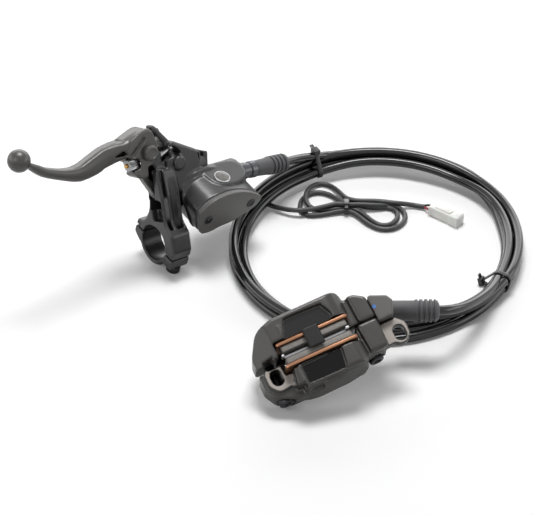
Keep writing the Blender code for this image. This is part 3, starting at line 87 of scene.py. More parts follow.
# Angles in degrees from which an edge is drawn sharp, on drawn pieces and on milled ones, and is broken by a bevel
DRAWN_EDGE = 35.0
MILLED_EDGE = 38.0
BROKEN_EDGE = 32.0

# Points between two points of a route before it is spaced evenly
CURVE_STEPS = 16

# Sockets of Blender's mix node: two values, two colours and the mixed colour
VALUE_A, VALUE_B, COLOUR_A, COLOUR_B, COLOUR_OUT = 2, 3, 6, 7, 2

# World: full for what is seen and mirrored, faint as light on surfaces, so that shadows stay deep
SKY_LIGHT = 0.09

# Floor, in metres: half its width, and between which distances from the middle its own glow towards the camera rises
# from a near to a far strength, so that it fades to white
FLOOR_REACH = 6.0
GLOW_FROM, GLOW_TO = 0.45, 1.3
GLOW_NEAR, GLOW_FAR = 0.05, 0.95

# Area lights: place and size in metres, power in watts; each faces the middle of the set
LIGHTS = (
    ("overhead_softbox", (0.05, 0.35, 1.3), (0.6, 0.4), 14.2),
    ("front_strip", (-0.7, -0.7, 0.9), (0.5, 0.12), 2.2),
    ("back_panel", (0.1, 1.5, 0.62), (2.6, 0.8), 17.0),
    ("left_panel", (-1.5, 0.1, 0.5), (1.6, 0.6), 6.0),
    ("right_panel", (1.6, 0.1, 0.5), (1.6, 0.6), 6.0),
)


def turn_matrix(degrees):
    """Rotation of X, then Y, then Z, as a 3 by 3 array."""
    (sx, sy, sz), (cx, cy, cz) = np.sin(np.radians(degrees)), np.cos(np.radians(degrees))
    about_x = np.array([[1, 0, 0], [0, cx, -sx], [0, sx, cx]])
    about_y = np.array([[cy, 0, sy], [0, 1, 0], [-sy, 0, cy]])
    about_z = np.array([[cz, -sz, 0], [sz, cz, 0], [0, 0, 1]])
    return about_z @ about_y @ about_x


class Place:
    """A housing's frame: turns its points into points above the floor."""

    def __init__(self, at, degrees):
        self.at = np.asarray(at, float) + FLOOR_SHIFT
        self.turn = turn_matrix(degrees)

    def __call__(self, points):
        return np.asarray(points, float) @ self.turn.T + self.at

    def along(self, direction):
        return self.turn @ np.asarray(direction, float)


MASTER = Place(MASTER_AT, MASTER_TURN)
CALIPER = Place(CALIPER_AT, CALIPER_TURN)


# Meshes

def as_it_lies(points):
    """Points that are already above the floor, in the scene's own frame."""
    return np.asarray(points, float)


def unit(vectors):
    """Vectors scaled to length 1 along the last axis."""
    vectors = np.asarray(vectors, float)
    return vectors / np.maximum(np.linalg.norm(vectors, axis=-1, keepdims=True), 1e-12)


def shell(rings, looped=False):
    """Skin over a grid of points (ring, place, xyz): neighbours joined by quads, and the ends filled or joined."""
    rings = np.asarray(rings, float)
    count, size = rings.shape[:2]
    start = np.arange(count if looped else count - 1)[:, None]
    here = np.arange(size)[None, :]
    after, there = (start + 1) % count * size, (here + 1) % size
    quads = np.stack([start * size + here, start * size + there, after + there, after + here], -1).reshape(-1, 4)
    faces = quads.tolist()
    verts = rings.reshape(-1, 3)
    if not looped:
        faces.append(list(range(size))[::-1])
        faces.append(list(range((count - 1) * size, count * size)))
    a, b, c, d = (verts[quads[:, k]] for k in range(4))
    centre = verts.mean(0)
    volume = np.einsum("ij,ij->i", a - centre, np.cross(b - centre, c - centre)).sum()
    volume += np.einsum("ij,ij->i", a - centre, np.cross(c - centre, d - centre)).sum()
    if volume < 0:
        faces = [face[::-1] for face in faces]
    return verts, faces


def linked(name, data):
    """New object in the scene."""
    made = bpy.data.objects.new(name, data)
    bpy.context.collection.objects.link(made)
    return made


def loose(name, shells, place):
    """Object of closed skins that are drawn in a housing's millimetres."""
    verts, faces, base = [], [], 0
    for points, skin in shells:
        verts.append(points)
        faces += [[base + i for i in face] for face in skin]
        base += len(points)
    mesh = bpy.data.meshes.new(name)
    mesh.from_pydata((place(np.vstack(verts)) * MM).tolist(), [], faces)
    return linked(name, mesh)


def dress(made, finish, body, stands_for):
    """Material, body and the solids that a piece stands for."""
    made.data.materials.clear()
    made.data.materials.append(finish)
    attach(made, body)
    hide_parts(*stands_for)
    return made


def catmull(a, b, c, d, t):
    """Catmull-Rom curve from b to c: half of 2b + (c - a)t + (2a - 5b + 4c - d)t^2 + (3b - a - 3c + d)t^3."""
    return 0.5 * (2 * b + (c - a) * t + (2 * a - 5 * b + 4 * c - d) * t**2 + (3 * b - a - 3 * c + d) * t**3)


def along(points, spacing):
    """Evenly spaced points on a Catmull-Rom curve through a route's own points."""
    p = np.asarray(points, float)
    p = np.vstack([2 * p[0] - p[1], p, 2 * p[-1] - p[-2]])
    a, b, c, d = (p[k:len(p) - 3 + k][:, None] for k in range(4))
    t = np.linspace(0, 1, CURVE_STEPS, endpoint=False)[None, :, None]
    dense = np.vstack([catmull(a, b, c, d, t).reshape(-1, p.shape[1]), p[-2:-1]])
    reach = np.concatenate([[0], np.cumsum(np.linalg.norm(np.diff(dense, axis=0), axis=1))])
    stops = np.linspace(0, reach[-1], max(2, int(round(reach[-1] / spacing)) + 1))
    return np.stack([np.interp(stops, reach, dense[:, k]) for k in range(p.shape[1])], 1)


def relaxed(points, reach, spacing):
    """Route with its kinks eased over a reach: each point drawn halfway to its neighbours' middle, time after time."""
    p = np.array(points, float)
    for _ in range(int(round(2 * (reach / spacing) ** 2))):
        p[1:-1] = 0.5 * p[1:-1] + 0.25 * (p[:-2] + p[2:])
    return p


def softened(corners, reach, steps=4):
    """Open or closed outline whose corners are quadratic curves that start a stated reach before each corner."""
    p = np.asarray(corners, float)
    reach = np.broadcast_to(np.asarray(reach, float), len(p))[:, None]
    back, ahead = np.roll(p, 1, 0) - p, np.roll(p, -1, 0) - p
    reach_back = np.minimum(reach, 0.48 * np.linalg.norm(back, axis=1, keepdims=True))
    reach_ahead = np.minimum(reach, 0.48 * np.linalg.norm(ahead, axis=1, keepdims=True))
    start, end = p + unit(back) * reach_back, p + unit(ahead) * reach_ahead
    t = np.linspace(0, 1, steps + 1)[None, :, None]
    return ((1 - t)**2 * start[:, None] + 2 * t * (1 - t) * p[:, None] + t**2 * end[:, None]).reshape(-1, p.shape[1])


def lathe(profile, at, axis, sides=48):
    """Surface of revolution: each (radius, distance) of the profile becomes a ring round the axis."""
    profile = np.asarray(profile, float)
    axis = unit(axis)
    side = unit(np.cross(axis, [0, 0, 1] if abs(axis[2]) < 0.9 else [1, 0, 0]))
    up = np.cross(axis, side)
    angle = np.linspace(0, 2 * np.pi, sides, endpoint=False)
    spoke = np.cos(angle)[:, None] * side + np.sin(angle)[:, None] * up
    rings = np.asarray(at, float) + profile[:, 1, None, None] * axis + profile[:, 0, None, None] * spoke
    return shell(rings)


def moved_in(outline, distance):
    """Closed flat outline with each point moved inwards along the mean of its two edges' normals."""
    p = np.asarray(outline, float)
    ahead, back = unit(np.roll(p, -1, 0) - p), unit(p - np.roll(p, 1, 0))
    area = (p[:, 0] * np.roll(p[:, 1], -1) - np.roll(p[:, 0], -1) * p[:, 1]).sum()
    normal = unit(np.stack([-(ahead + back)[:, 1], (ahead + back)[:, 0]], 1)) * np.sign(area)
    lean = np.maximum(np.abs(normal[:, 0] * ahead[:, 1] - normal[:, 1] * ahead[:, 0]), 0.5)
    return p + distance * normal / lean[:, None]


def slab(outline, low, high, at=(0, 0, 0), axes=((1, 0, 0), (0, 1, 0), (0, 0, 1)), edge=0.4, steps=3):
    """Outline pushed out from low to high along the third axis, its rims rounded by a quarter circle of a radius."""
    t = np.linspace(0, np.pi / 2, steps + 1)
    inwards = edge * np.concatenate([1 - np.sin(t), 1 - np.sin(t[::-1])])
    level = np.concatenate([low + edge * (1 - np.cos(t)), high - edge * (1 - np.cos(t[::-1]))])
    axes = np.asarray(axes, float)
    rings = [moved_in(outline, d) @ axes[:2] + h * axes[2] + at for d, h in zip(inwards, level)]
    return shell(rings)


def block(corners, low, high, corner, edge):
    """Slab along Z whose corners are rounded by a reach and whose rims by a radius."""
    return slab(softened(corners, corner), low, high, edge=edge)


def box_outline(long, wide):
    """Rectangle round the middle."""
    return oblong(-long / 2, long / 2, -wide / 2, wide / 2)


def oblong(left, right, low, high):
    """Rectangle between two pairs of sides."""
    return [(left, low), (right, low), (right, high), (left, high)]


def merged_copy(name, node_name, solids):
    """Copy of a solid with its loose triangles joined."""
    mesh = solids[node_name].data.copy()
    bm = bmesh.new()
    bm.from_mesh(mesh)
    bmesh.ops.remove_doubles(bm, verts=bm.verts, dist=1e-6)
    bm.to_mesh(mesh)
    bm.free()
    return linked(name, mesh)


def settled(made, *changes):
    """Object with its modifiers, each a kind and settings, worked into its mesh."""
    for kind, settings in changes:
        modifier = made.modifiers.new(kind.lower(), kind)
        for key, value in settings.items():
            setattr(modifier, key, value)
    graph = bpy.context.evaluated_depsgraph_get()
    mesh = bpy.data.meshes.new_from_object(made.evaluated_get(graph))
    made.modifiers.clear()
    made.data = mesh
    return made


def carve(made, cuts, place, solver="MANIFOLD"):
    """Object with each closed skin of a list cut out of it in turn."""
    for cut in cuts:
        cutter = loose("cutter", [cut], place)
        settled(made, ("BOOLEAN", {"operation": "DIFFERENCE", "solver": solver, "object": cutter}))
        bpy.data.objects.remove(cutter, do_unlink=True)
    return made


class Bench:
    """Makes the pieces of one housing, from its solids and in its finishes."""

    def __init__(self, place, solids, finish):
        self.place, self.solids, self.finish = place, solids, finish

    def piece(self, name, shells, coat, stands_for, body="housings", slot=None):
        """One finished object of closed skins, smooth but for its edges."""
        made = loose(name, shells, self.place)
        made.data.update()
        made.data.shade_smooth()
        made.data.set_sharp_from_angle(angle=math.radians(DRAWN_EDGE))
        return dress(made, self.finish[coat], body, [stands_for])

    def cast(self, name, solid, coat, adds=(), cuts=(), body="housings", slot=None, voxel=0.45, smoothing=4,
             clear=(), more=()):
        """Casting after a solid: details joined on, cuts taken out, every edge and root rounded as a mould does."""
        made = carve(merged_copy(name, solid, self.solids), clear, self.place, "EXACT")
        if adds:
            extra = loose("extra", adds, self.place)
            bm = bmesh.new()
            bm.from_mesh(made.data)
            bm.from_mesh(extra.data)
            bm.to_mesh(made.data)
            bm.free()
            bpy.data.objects.remove(extra, do_unlink=True)
        grid = ("REMESH", {"mode": "VOXEL", "voxel_size": voxel * MM})
        if cuts:
            settled(made, grid)
            carve(made, cuts, self.place)
        settled(made, grid, ("SMOOTH", {"factor": 0.5, "iterations": smoothing}))
        made.data.shade_smooth()
        return dress(made, self.finish[coat], body, (solid, *more))

    def eased(self, name, solid, coat, radius, cuts=(), body="housings"):
        """A turned or milled solid with its sharp edges broken by a small radius."""
        made = carve(merged_copy(name, solid, self.solids), cuts, self.place, "EXACT")
        bevel = {"width": radius * MM, "segments": 2, "limit_method": "ANGLE", "angle_limit": math.radians(BROKEN_EDGE)}
        settled(made, ("BEVEL", bevel))
        made.data.shade_smooth()
        made.data.set_sharp_from_angle(angle=math.radians(MILLED_EDGE))
        return dress(made, self.finish[coat], body, (solid,))


def closed_curve(points, steps=8):
    """Closed smooth outline: a Catmull-Rom curve through points that goes round."""
    p = np.asarray(points, float)
    a, b, c, d = (np.roll(p, k, 0)[:, None] for k in (1, 0, -1, -2))
    t = np.linspace(0, 1, steps, endpoint=False)[None, :, None]
    return catmull(a, b, c, d, t).reshape(-1, p.shape[1])


# Materials

def linear(colour):
    """sRGB hex to linear light, with alpha."""
    parts = np.array([int(colour[i:i + 2], 16) for i in (1, 3, 5)]) / 255.0
    parts = np.where(parts <= 0.04045, parts / 12.92, ((parts + 0.055) / 1.055) ** 2.4)
    return (*parts.tolist(), 1.0)


def node(tree, kind, settings=None, **links):
    """One shader node: settings go to its properties, or to its inputs by name, and links join sockets to inputs.

    A material's own shader and the world's background are there already, so they are taken by their names.
    """
    made = tree.nodes[kind] if kind in tree.nodes else tree.nodes.new(kind)
    for key, value in (settings or {}).items():
        if isinstance(key, int) or key in made.inputs:
            made.inputs[key].default_value = value
        else:
            setattr(made, key, value)
    for key, source in links.items():
        tree.links.new(source, made.inputs[int(key[1:]) if key[0] == "n" and key[1:].isdigit() else key])
    return made


def surface_finish(name, dark, light, rough, metal=0.0, grain=0.4, depth=0.01, patch=12.0, spread=0.06, **sockets):
    """Material with a fine relief of a grain in mm, and with colour and roughness that drift over patches of a size."""
    made = bpy.data.materials.new(name)
    made.use_nodes = True
    tree = made.node_tree
    where = node(tree, "ShaderNodeTexCoord").outputs["Object"]
    drift = node(tree, "ShaderNodeTexNoise", {"Scale": 1 / (patch * MM), "Detail": 3.0}, Vector=where).outputs["Fac"]
    fine = node(tree, "ShaderNodeTexNoise", {"Scale": 1 / (grain * MM), "Detail": 2.0}, Vector=where).outputs["Fac"]
    tones = {"data_type": "RGBA", COLOUR_A: linear(dark), COLOUR_B: linear(light)}
    gloss = {"To Min": rough - spread, "To Max": rough + spread}
    relief = {"Strength": 1.0, "Distance": depth * MM}
    links = {
        "Base Color": node(tree, "ShaderNodeMix", tones, Factor=drift).outputs[COLOUR_OUT],
        "Roughness": node(tree, "ShaderNodeMapRange", gloss, Value=drift).outputs["Result"],
        "Normal": node(tree, "ShaderNodeBump", relief, Height=fine).outputs["Normal"],
    }
    own = {key.replace("_", " "): value for key, value in sockets.items()}
    node(tree, "Principled BSDF", {"Metallic": metal, **own}, **links)
    made.diffuse_color = linear(light)
    return made


def marked(made, colour, rough, centre, radius, facing=None, shine=None):
    """Finish with a patch of another colour: within a radius of a point, or the faces turned one way at its level."""
    tree = made.node_tree
    shader = tree.nodes["Principled BSDF"]
    where = node(tree, "ShaderNodeTexCoord").outputs["Object"]
    offset = node(tree, "ShaderNodeVectorMath", {"operation": "SUBTRACT", 1: tuple(centre * MM)}, n0=where).outputs[0]
    if facing is None:
        away = node(tree, "ShaderNodeVectorMath", {"operation": "LENGTH"}, n0=offset).outputs["Value"]
        mask = node(tree, "ShaderNodeMath", {"operation": "LESS_THAN", 1: radius * MM}, n0=away).outputs[0]
    else:
        dot = {"operation": "DOT_PRODUCT", 1: tuple(facing)}
        level = node(tree, "ShaderNodeVectorMath", dot, n0=offset).outputs["Value"]
        level = node(tree, "ShaderNodeMath", {"operation": "ABSOLUTE"}, n0=level).outputs[0]
        level = node(tree, "ShaderNodeMath", {"operation": "LESS_THAN", 1: radius * MM}, n0=level).outputs[0]
        turn = node(tree, "ShaderNodeTexCoord").outputs["Normal"]
        turn = node(tree, "ShaderNodeVectorMath", dot, n0=turn).outputs["Value"]
        turn = node(tree, "ShaderNodeMath", {"operation": "GREATER_THAN", 1: 0.95}, n0=turn).outputs[0]
        mask = node(tree, "ShaderNodeMath", {"operation": "MULTIPLY"}, n0=level, n1=turn).outputs[0]
    colour_in, rough_in, shine_in = (shader.inputs[name] for name in ("Base Color", "Roughness", "Specular IOR Level"))
    tone = node(tree, "ShaderNodeMix", {"data_type": "RGBA", COLOUR_B: linear(colour)}, Factor=mask)
    tree.links.new(colour_in.links[0].from_socket, tone.inputs[COLOUR_A])
    tree.links.new(tone.outputs[COLOUR_OUT], colour_in)
    gloss = node(tree, "ShaderNodeMix", {VALUE_B: rough}, Factor=mask)
    tree.links.new(rough_in.links[0].from_socket, gloss.inputs[VALUE_A])
    tree.links.new(gloss.outputs[0], rough_in)
    if shine is not None:
        mirror = node(tree, "ShaderNodeMix", {VALUE_A: shine_in.default_value, VALUE_B: shine}, Factor=mask)
        tree.links.new(mirror.outputs[0], shine_in)
    return made


def finishes():
    """Every finish of the set, by its slot in the record or by the piece that it is for."""
    slot_way = CALIPER.along((0, 0, 1))
    # Two colours, roughness, metal, grain and its depth
    paint = ("#2b2a29", "#383633", 0.33, 0.0, 0.5, 0.02)
    return {
        # The casting's paint on the caliper's lower half: its two tab faces milled bare, a warm grey, and the floor of
        # its sunk window left glossy and darker
        "tab_black": marked(
            marked(surface_finish("black_casting_with_milled_tabs", *paint), "#aca49d", 0.45, CALIPER((0, 0, -8.5)),
                   0.3, slot_way),
            "#050505", 0.22, CALIPER((0, 0, -3.2)), 0.4, slot_way, 0.18),
        # The same paint on the upper half, with the same glossy window floor
        "window_black": marked(
            surface_finish("black_casting_with_gloss_window", *paint), "#050505", 0.22, CALIPER((0, 0, -3.0)), 0.4,
            slot_way, 0.4),
        # Powder-coated elbow with a blue paint dot from assembly
        "inlet": marked(
            surface_finish("powder_coated_elbow", "#4c4a48", "#565451", 0.4, grain=0.6, depth=0.02), "#3f77c4", 0.4,
            CALIPER((37.5, 5.3, -3.6)), 1.05),
        # Die-cast aluminium under black electrophoretic paint: an even satin skin over a faint casting grain
        "black": surface_finish("black_painted_casting", "#202021", "#2a2a2a", 0.32, grain=0.5, depth=0.02),
        # Forged aluminium, anthracite powder coat: dark grey, satin, with a fine orange peel
        "satin": surface_finish("anthracite_powder_coat", "#454443", "#504f4d", 0.34, 0.35, grain=0.6, depth=0.02),
        # Moulded glass-filled nylon: flat dark grey with a spark-eroded grain
        "cover": surface_finish("spark_eroded_nylon", "#4b4a49", "#555352", 0.5, grain=0.35, depth=0.03),
        # Zinc-plated steel: bright grey, softly mirrored
        "steel": surface_finish("zinc_plated_steel", "#8e8e8f", "#aaabac", 0.32, 1.0),
        # Black oxide on steel: almost black with a dull metal shine
        "dark_steel": surface_finish("black_oxide_steel", "#2a2a2c", "#38383a", 0.38, 0.8),
        # Turned brass
        "brass": surface_finish("turned_brass", "#b3894a", "#c49a58", 0.3, 1.0),
        # Turned aluminium, hard anodised grey
        "alloy": surface_finish("anodised_aluminium", "#4c4d50", "#5a5b5e", 0.32, 0.9),
        # Moulded EPDM rubber: soft charcoal without shine
        "rubber": surface_finish("moulded_rubber", "#454547", "#505052", 0.62, grain=0.5, depth=0.03),
        # Extruded polyamide over braid: deep black with a wet shine
        "hose": surface_finish("extruded_polyamide", "#0e0e0f", "#151516", 0.13, spread=0.02, grain=0.8, depth=0.004),
        # Extruded PVC jacket of the cable and wires: dark grey, half matt
        "cable": surface_finish("cable_jacket", "#262627", "#303031", 0.42, grain=0.6, depth=0.012),
        # Acrylic lens over dark fluid
        "glass": surface_finish("acrylic_sight_glass", "#1e1d1c", "#77736c", 0.2, grain=1.0, patch=2.2,
                                Coat_Weight=0.6),
        # Copper flash on the pads' steel backs
        "copper": surface_finish("copper_plated_steel", "#86604a", "#a0765a", 0.36, 0.85, grain=0.5),
        # Sintered metal friction material: grey grit
        "lining": surface_finish("sintered_lining", "#5b5855", "#8b8783", 0.6, 0.5, grain=0.6, depth=0.08, patch=1.2),
        # Black nylon cable ties
        "nylon": surface_finish("black_nylon", "#161616", "#1f1f1f", 0.34),
        # The pads' retainer, the same nylon with a duller skin
        "dull_nylon": surface_finish("dull_black_nylon", "#0c0c0c", "#141414", 0.45, Specular_IOR_Level=0.25),
        # Natural nylon connector: milky white
        "white": surface_finish("natural_nylon", "#e2dfd8", "#ece9e2", 0.38, grain=0.5, Subsurface_Weight=0.15),
        # PVC insulation, dark red
        "red": surface_finish("red_insulation", "#85202c", "#962a36", 0.35, grain=0.5),
    }


# Hose and cable

COIL_AT = np.array([65.7, 10.1])
COIL_RADII = np.array([82.6, 91.2])
COIL_TURN = -16.8
TIE_ANGLES = (132.5, -12.5)
TIE_WIDTH = 2.8
TIE_BAND = 0.9
TIE_REACH = 17.0
TIE_HEAD = np.array([126.7, -34.0, 3.4])
OUTLET_SLOPE = np.array([math.cos(math.radians(4.5)), 0, -math.sin(math.radians(4.5))])
OUTLET_AT = np.array([57.0, -4.0, 28.2])
MASTER_BOOT = (14.8, 40.4)
CALIPER_BOOT_AT = np.array([49.1, 4.7, -21.0])
CALIPER_BOOT_LENGTH = 26.5

# The bundle rises off the floor behind, where the lever's end of the hose holds it up; it leans to the front there,
# so that its place in the picture stays. RISE and FALL are degrees round the oval. Beside a strap the hose lifts by the
# strap's thickness over a reach in degrees, and the cable in the hank's tie over one in mm
RAISED = 4.5
STRAP_ROOM = 0.95
LEAN = -1.36
RISE = (38, 88)
FALL = (168, 205)
STRAP_REACH = 9.0
HANK_REACH = 9.0

# The hose's free ends, above the floor
LEAD_DOWN = [
    (16.6, 68.6, 25.8), (21.2, 75.4, 22.6), (26.4, 82, 18.8), (31.7, 87.4, 15.8), (38.2, 92.2, 13.2),
    (47.4, 97.2, 11), (58, 100.9, 9.6),
]
LEAD_UP = [
    (133.5, -41.3, 10.6), (126, -55.6, 15), (120.9, -64.5, 18), (115.3, -73.3, 21.5), (109.9, -80.8, 24.8),
    (105.3, -86.3, 27.5), (101, -90.3, 29.8),
]

# Each turn's place in the bundle, turn by turn: degrees travelled from the top of the oval, distance outwards, height
PASSES = np.array([
    (0, 8.8, 4.5), (40, 8.8, 4.5), (75, 2.95, 2.85), (410, 2.95, 2.85), (440, -2.95, 2.85), (512, -2.95, 2.85),
    (545, 0.6, 6.2), (565, 2.95, 8.75), (760, 2.95, 8.75), (795, 4.55, 8.3), (832, 4.55, 8.3), (858, 2.95, 8.75),
    (880, -3.2, 8.9), (905, -3.4, 8.7), (925, -2.95, 2.85), (1050, -2.95, 2.85), (1075, -2.95, 5.3), (1120, -2.95, 5.3),
    (1142, -1.35, 8.3), (1190, -1.35, 8.3),
])
TOP_ANGLE = 106.0
TURNED_BY = 1188.0
TURN_STEP = 6.0

# Spacing of a route's points and the reach over which its kinks are eased
HOSE_STEP, HOSE_EASE = 2.4, 9.0
CABLE_STEP, CABLE_EASE = 1.3, 3.4
WIRE_STEP = 0.6


def eased_between(x, low, high):
    """0 below low, 1 above high, and an S between: 3t^2 - 2t^3."""
    t = np.clip((x - low) / (high - low), 0, 1)
    return t * t * (3 - 2 * t)


def along_stations(x, stations, values):
    """Values between stations, eased so that each change starts and ends level."""
    k = np.clip(np.searchsorted(stations, x, side="right") - 1, 0, len(stations) - 2)
    return values[k] + (values[k + 1] - values[k]) * eased_between(x, stations[k], stations[k + 1])


def coil_points(angle, sideways, height):
    """Points on the coil's oval: angle in degrees, distance outwards from its middle line, height above the floor."""
    a, turn = np.radians(angle), math.radians(COIL_TURN)
    u, v = (COIL_RADII[0] + sideways) * np.cos(a), (COIL_RADII[1] + sideways) * np.sin(a)
    x = COIL_AT[0] + u * math.cos(turn) - v * math.sin(turn)
    y = COIL_AT[1] + u * math.sin(turn) + v * math.cos(turn)
    round_angle = np.mod(angle, 360.0)
    rise = RAISED * eased_between(round_angle, *RISE) * (1 - eased_between(round_angle, *FALL))
    strap = STRAP_ROOM * np.exp(-((np.mod(round_angle - TIE_ANGLES[1] + 180, 360) - 180) / STRAP_REACH) ** 2)
    return np.stack([x, y + LEAN * rise, height + rise + strap], -1)


def hose_route():
    """From the lever's boot down to the coil, three and a third turns clockwise, and up to the caliper's boot."""
    end = OUTLET_AT + OUTLET_SLOPE * MASTER_BOOT[1]
    start = MASTER(np.array([end - 6.0 * OUTLET_SLOPE, end + 1.0 * OUTLET_SLOPE])) - FLOOR_SHIFT
    travelled = np.arange(0.0, TURNED_BY + 0.1, TURN_STEP)
    lane = along_stations(travelled, PASSES[:, 0], PASSES[:, 1])
    height = along_stations(travelled, PASSES[:, 0], PASSES[:, 2])
    turns = coil_points(TOP_ANGLE - travelled, lane, height)
    end = CALIPER(CALIPER_BOOT_AT) - FLOOR_SHIFT + np.array([CALIPER_BOOT_LENGTH, 0, 0])
    last = [end + (1.0, 0.1, 0), end - (6.0, 0, 0)]
    route = np.vstack([start, LEAD_DOWN, turns, LEAD_UP, last]) + FLOOR_SHIFT
    return relaxed(along(route, HOSE_STEP), HOSE_EASE, HOSE_STEP)


def cord_piece(name, points, diameter, finish, slot, stands_for, **facts):
    """Free cord as a curve of one spline."""
    curve = bpy.data.curves.new(name, "CURVE")
    curve.dimensions = "3D"
    curve.bevel_depth = diameter / 2 * MM
    curve.bevel_resolution = 6
    curve.use_fill_caps = True
    spline = curve.splines.new("POLY")
    spline.points.add(len(points) - 1)
    spline.points.foreach_set("co", np.column_stack([points * MM, np.ones(len(points))]).ravel())
    spline.use_smooth = True
    made = linked(name, curve)
    dress(made, finish, "housings", stands_for)
    return made


def crossings(route, at, ahead, reach):
    """Points where a route passes through a plane, near the plane's own point."""
    side = (route - at) @ ahead
    k = np.flatnonzero(side[:-1] * side[1:] <= 0)
    t = side[k] / (side[k] - side[k + 1] + 1e-12)
    hits = route[k] + (route[k + 1] - route[k]) * t[:, None]
    return hits[np.linalg.norm(hits - at, axis=1) < reach]


def tie_shells(strands, radii, ahead, width, thick, head_angle, head, tail):
    """Cable tie: a strap round the strands, its ratchet head at an angle, and the cut end of the strap past the head.

    The strap's path takes, in each direction round the bundle, the strand that reaches farthest, plus its radius.
    """
    up = np.array([0.0, 0.0, 1.0])
    out = np.cross(ahead, up)
    angle = np.linspace(0, 2 * np.pi, 120, endpoint=False)
    normal = np.cos(angle)[:, None] * out + np.sin(angle)[:, None] * up
    strands, radii = np.asarray(strands), np.asarray(radii)
    flat = strands - np.outer((strands - strands[0]) @ ahead, ahead)
    best = (flat @ normal.T + radii[:, None]).argmax(0)
    skin = flat[best] + radii[best][:, None] * normal
    section = softened([(0.0, -width / 2), (thick, -width / 2), (thick, width / 2), (0.0, width / 2)], 0.25, 2)
    rings = skin[:, None] + section[None, :, 0, None] * normal[:, None] + section[None, :, 1, None] * ahead
    k = int(round(head_angle / 360 * len(angle))) % len(angle)
    seat, away = skin[k], normal[k]
    run = np.cross(ahead, away)
    length, across, high = head
    body = slab(softened(box_outline(length, across), 0.5, 3), 0.1, high, seat, (run, ahead, away), 0.35)
    root = seat + away * 1.6 + run * (length / 2 - 0.2)
    leaning = (ahead, away, unit(run + 0.25 * away))
    stub = slab(softened(box_outline(width * 0.92, 0.9), 0.2, 2), 0.0, tail, root, leaning, 0.12)
    return [shell(rings, looped=True), body, stub]


def coil_tie(angle, route, extra=()):
    """The tie's plane across the bundle at an angle, with the strands that pass through it."""
    at = coil_points(np.array(angle), 0.0, HOSE) + FLOOR_SHIFT
    ahead = unit(coil_points(np.array(angle + 0.5), 0.0, 0.0) - coil_points(np.array(angle - 0.5), 0.0, 0.0))
    ahead = unit(ahead * (1, 1, 0))
    strands = crossings(route, at, ahead, TIE_REACH)
    radii = [HOSE / 2] * len(strands)
    for point, radius in extra:
        strands = np.vstack([strands, np.asarray(point) + FLOOR_SHIFT])
        radii.append(radius)
    return strands, radii, ahead


def hose_pieces(bench):
    """The hose as one cord, and the two ties round its coil."""
    route = hose_route()
    for name, solid, angle, extra, head_angle, head, tail in (
        ("tie_back", "coil_tie_back", TIE_ANGLES[0], (), 96, (5.2, 4.6, 3.2), 3.4),
        ("tie_right", "coil_tie_right", TIE_ANGLES[1], [(TIE_HEAD, 1.2)], 196, (5.0, 4.4, 3.0), 2.6),
    ):
        strands, radii, ahead = coil_tie(angle, route, extra)
        shells = tie_shells(strands, radii, ahead, TIE_WIDTH, TIE_BAND, head_angle, head, tail)
        bench.piece(name, shells, "nylon", solid)
    parts = ("hose_lead_master", "hose_coil", "hose_lead_caliper")
    cord_piece("hose", route, HOSE, bench.finish["hose"], "hose", parts, far_end="object", stiffness="stiff",
               lay="coiled", with_pieces=["tie_back", "tie_right"])


# The switch cable on the floor, after its free stretch: the folds of its hank, with the tie at HANK_TIE, and its tail
CABLE_DROP = [
    (-50, 43.5, 42), (-47.5, 51, 31), (-41, 57, 18.5), (-32, 60.8, 8.5), (-21.5, 62.3, 2.9), (-11, 61.2, 1.7),
    (-3.2, 57.2, 1.7), (2, 52.2, 2.2),
]
CABLE_FOLDS = [
    (8, 47.4, 3.3), (14.2, 44.1, 4.3), (21, 42.7, 4.7), (28.4, 44.7, 4.3), (37.2, 47.9, 4.2), (44.8, 50.7, 4.1),
    (49.8, 47.9, 4), (58.6, 49.6, 4.2), (66.1, 49.2, 4.2), (73.7, 50.4, 3.2), (80.2, 52.6, 1.5), (84.7, 49.1, 1.5),
    (87, 41, 1.5), (84.3, 32.9, 1.5), (78.8, 27.6, 1.5), (72.5, 26.5, 1.5), (65.9, 29.7, 1.5), (60, 36.7, 1.5),
    (55.3, 43.7, 1.5), (49.6, 46.4, 1.5), (43.5, 45.2, 1.5), (34.7, 42.8, 1.5), (26.5, 41.5, 1.5), (21.9, 44.8, 1.5),
    (20.8, 52.4, 1.5), (23.1, 61.3, 1.5), (28.3, 66.4, 1.5), (34.6, 67.7, 1.5), (40.9, 64, 1.5), (45.8, 58.8, 1.5),
    (50.2, 52.2, 1.5), (56.9, 53, 1.5), (63.7, 50.4, 1.5), (71.3, 50.2, 1.5), (77.6, 50.7, 1.5), (81.4, 47.2, 1.5),
    (82.2, 41.5, 1.5), (79.5, 34.5, 1.5), (74, 30.4, 1.5), (68.5, 32.4, 1.5), (63.5, 38.8, 1.5), (59.1, 45, 1.5),
    (55.2, 48, 1.5), (49.9, 49.3, 1.5), (43.6, 48.2, 1.5), (35.4, 47.5, 1.5), (28.5, 48.8, 1.6), (25.1, 53, 3),
    (24.3, 58.3, 4.3), (26.3, 67.5, 3.6), (30.3, 75.4, 1.8), (34.9, 77.7, 1.5), (41.2, 74.7, 1.5), (46.3, 66.4, 2.2),
    (49.6, 58.2, 3.4), (53, 53.6, 4.2), (60.1, 53.4, 4.4), (68.2, 53.7, 4.4), (76.3, 52.2, 4.4), (82.5, 51.2, 4.3),
    (90.3, 53.2, 2), (96.5, 51.6, 1.6), (99.4, 50.6, 2),
]
CABLE_START = np.array([30.0, 2.3, 43.0])
HANK_TIE = np.array([49.9, 49.3, 2.7])
CONNECTOR_AT = np.array([111.7, 40.1, 0.0])
CONNECTOR_TURN = -39.4
CONNECTOR = (22.4, 8.0, 7.2)


